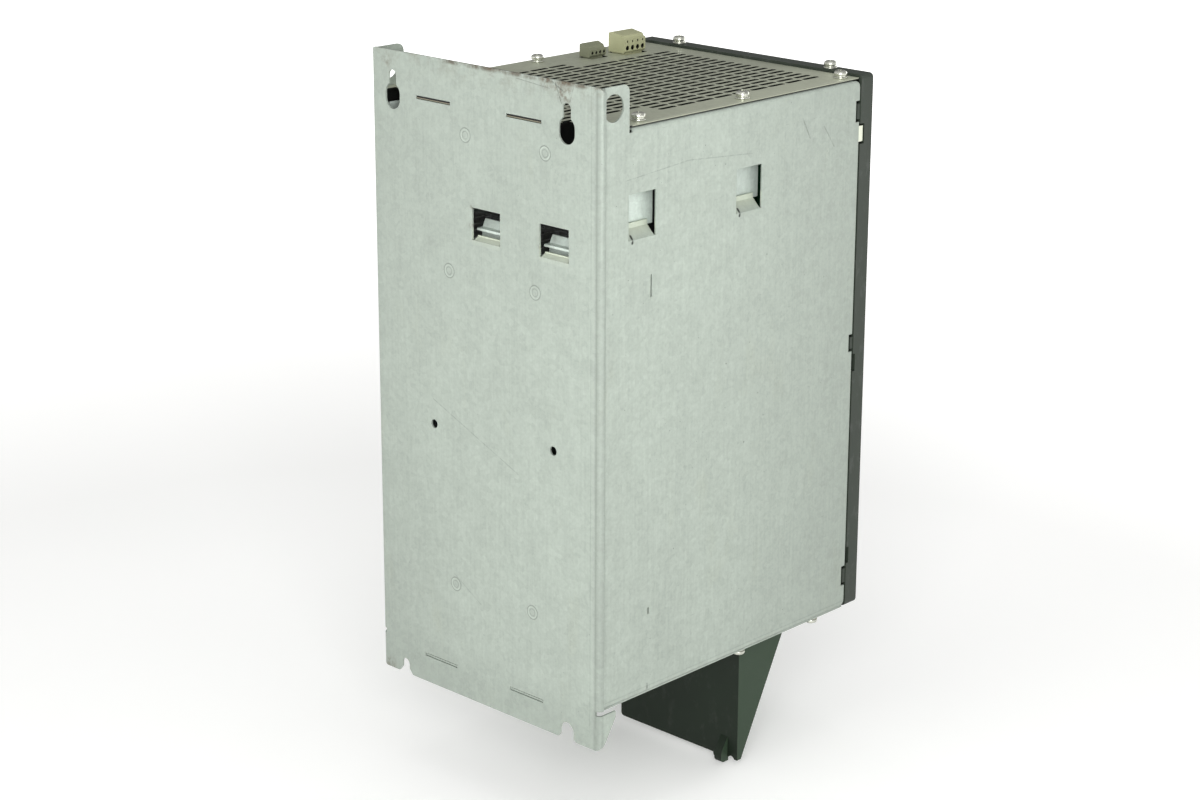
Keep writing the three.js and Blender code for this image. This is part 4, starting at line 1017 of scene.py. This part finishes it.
def make_board_parts():
    """Chips, a crystal and small capacitors on the interface board behind the service door."""
    low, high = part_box("interface_board")
    chips, cans = bmesh.new(), bmesh.new()
    for x, z, width, height in (
        (-76, 302, 14, 10), (-22, 300, 12, 12), (-76, 252, 10, 16), (-50, 250, 18, 6), (-20, 262, 8, 8),
    ):
        block_at(chips, (x * MM, low.y - 1.0 * MM, z * MM), (width * MM, 2.0 * MM, height * MM), 0.2 * MM)
    for x, z in ((-60, 300), (-54, 300), (-48, 300), (-30, 246), (-24, 246)):
        add_disc(cans, (x * MM, low.y - 1.5 * MM, z * MM), "-Y", 2.2 * MM, 1.5 * MM, 20)
    detail("board_chips", chips, "black_plastic", "interface_board")
    detail("board_cans", cans, "aluminium", "interface_board")


make_lid()
make_screws()
make_clinch_marks()
make_refined()
make_signal_plugs()
make_power_plugs()
make_sockets()
make_faceplate_screws()
make_window_lamps()
make_board_parts()
make_clip_seats()


# ---------------------------------------------------------------- floor, light and camera


def make_stage():
    lowest = CAD_BOX[0][2]
    mesh = bpy.data.meshes.new("floor")
    half = 6.0
    corners = [(-half, -half, 0), (half, -half, 0), (half, half, 0), (-half, half, 0)]
    mesh.from_pydata(corners, [], [(0, 1, 2, 3)])
    floor = bpy.data.objects.new("floor", mesh)
    floor.location.z = lowest - 0.002
    bpy.context.scene.collection.objects.link(floor)
    tree = Tree("pale_floor", (0.93, 0.93, 0.92), 0.75)
    cloud = tree.noise(3.0, 3.0, 0.5)
    patches = tree.remap(cloud, 0.3, 0.7)
    tree.set("Base Color", tree.mix(patches, (0.92, 0.92, 0.91, 1), (0.94, 0.94, 0.93, 1)))
    tree.set("Emission Color", (1.0, 1.0, 0.995, 1.0))
    far = tree.add("ShaderNodeVectorMath", {0: tree.coord}, operation="LENGTH").outputs["Value"]
    tree.set("Emission Strength", tree.remap(far, 0.7, 2.7, 0.15, 1.05))
    floor.data.materials.append(tree.material)


def area_light(name, place, target, size, power, color=(1, 1, 1)):
    light = bpy.data.lights.new(name, "AREA")
    light.shape = "RECTANGLE"
    light.size, light.size_y = size
    light.energy = power
    light.color = color
    obj = bpy.data.objects.new(name, light)
    obj.location = place
    obj.rotation_euler = (Vector(target) - Vector(place)).to_track_quat("-Z", "Y").to_euler()
    bpy.context.scene.collection.objects.link(obj)


def make_world():
    """A white room, dimmer overhead and to one side; the camera sees plain white behind the drive."""
    world = bpy.data.worlds.new("studio")
    world.use_nodes = True
    nodes, links = world.node_tree.nodes, world.node_tree.links
    backdrop = nodes["Background"]
    backdrop.inputs["Color"].default_value = (1.0, 1.0, 1.0, 1)
    backdrop.inputs["Strength"].default_value = 1.0
    room = nodes.new("ShaderNodeBackground")
    room.inputs["Color"].default_value = (1.0, 1.0, 0.995, 1)
    place = nodes.new("ShaderNodeTexCoord").outputs["Generated"]
    split = nodes.new("ShaderNodeSeparateXYZ")
    links.new(place, split.inputs[0])

    def ramp(value, low, high, to_low, to_high):
        made = nodes.new("ShaderNodeMapRange")
        links.new(value, made.inputs[0])
        for index, number in enumerate((low, high, to_low, to_high), start=1):
            made.inputs[index].default_value = number
        return made.outputs[0]

    away = nodes.new("ShaderNodeVectorMath")
    away.operation = "DOT_PRODUCT"
    links.new(place, away.inputs[0])
    away.inputs[1].default_value = (0.66, -0.70, 0.27)
    strength = nodes.new("ShaderNodeMath")
    strength.operation = "MULTIPLY"
    links.new(ramp(split.outputs["Z"], 0.05, 0.80, 0.80, 0.52), strength.inputs[0])
    links.new(ramp(away.outputs["Value"], 0.70, 0.98, 1.0, 0.35), strength.inputs[1])
    links.new(strength.outputs[0], room.inputs["Strength"])
    choose = nodes.new("ShaderNodeMixShader")
    links.new(nodes.new("ShaderNodeLightPath").outputs["Is Camera Ray"], choose.inputs[0])
    links.new(room.outputs[0], choose.inputs[1])
    links.new(backdrop.outputs[0], choose.inputs[2])
    links.new(choose.outputs[0], nodes["World Output"].inputs["Surface"])
    bpy.context.scene.world = world


def make_lights():
    make_world()
    middle = (0, -0.13, 0.17)
    area_light("softbox_near", (-1.30, 1.25, 0.80), middle, (1.1, 1.1), 29)
    area_light("softbox_behind", (0.5, 2.0, 0.8), middle, (1.4, 1.2), 5)
    area_light("softbox_left", (-2.1, -0.3, 0.5), middle, (1.4, 1.2), 2)
    area_light("softbox_top", (-0.3, 0.1, 2.3), middle, (1.6, 1.6), 7)
    area_light("softbox_front", (0.1, -2.4, 0.5), middle, (1.6, 1.0), 11)


def make_camera():
    """The photograph's view: bearing, height, roll, distance and framing in terms of the box's height."""
    height = 0.375
    bearing, rise, roll = (math.radians(v) for v in (223.03, 16.74, 0.38))
    look_at = Vector((0, -0.35, 0.5)) * height
    back = Vector((math.sin(bearing) * math.cos(rise), -math.cos(bearing) * math.cos(rise), math.sin(rise)))
    right = Vector((0, 0, 1)).cross(back).normalized()
    up = back.cross(right)
    x_axis = math.cos(roll) * right + math.sin(roll) * up
    y_axis = -math.sin(roll) * right + math.cos(roll) * up
    data = bpy.data.cameras.new("camera")
    data.sensor_width = 36.0
    data.lens = 77.86
    data.shift_x = -0.0211
    data.shift_y = -0.0362
    data.clip_start = 0.05
    camera = bpy.data.objects.new("camera", data)
    matrix = Matrix((x_axis, y_axis, back)).transposed().to_4x4()
    matrix.translation = look_at + back * 4.656 * height
    camera.matrix_world = matrix
    bpy.context.scene.collection.objects.link(camera)
    bpy.context.scene.camera = camera


make_stage()
make_lights()
make_camera()
bpy.context.scene.view_settings.view_transform = "Standard"
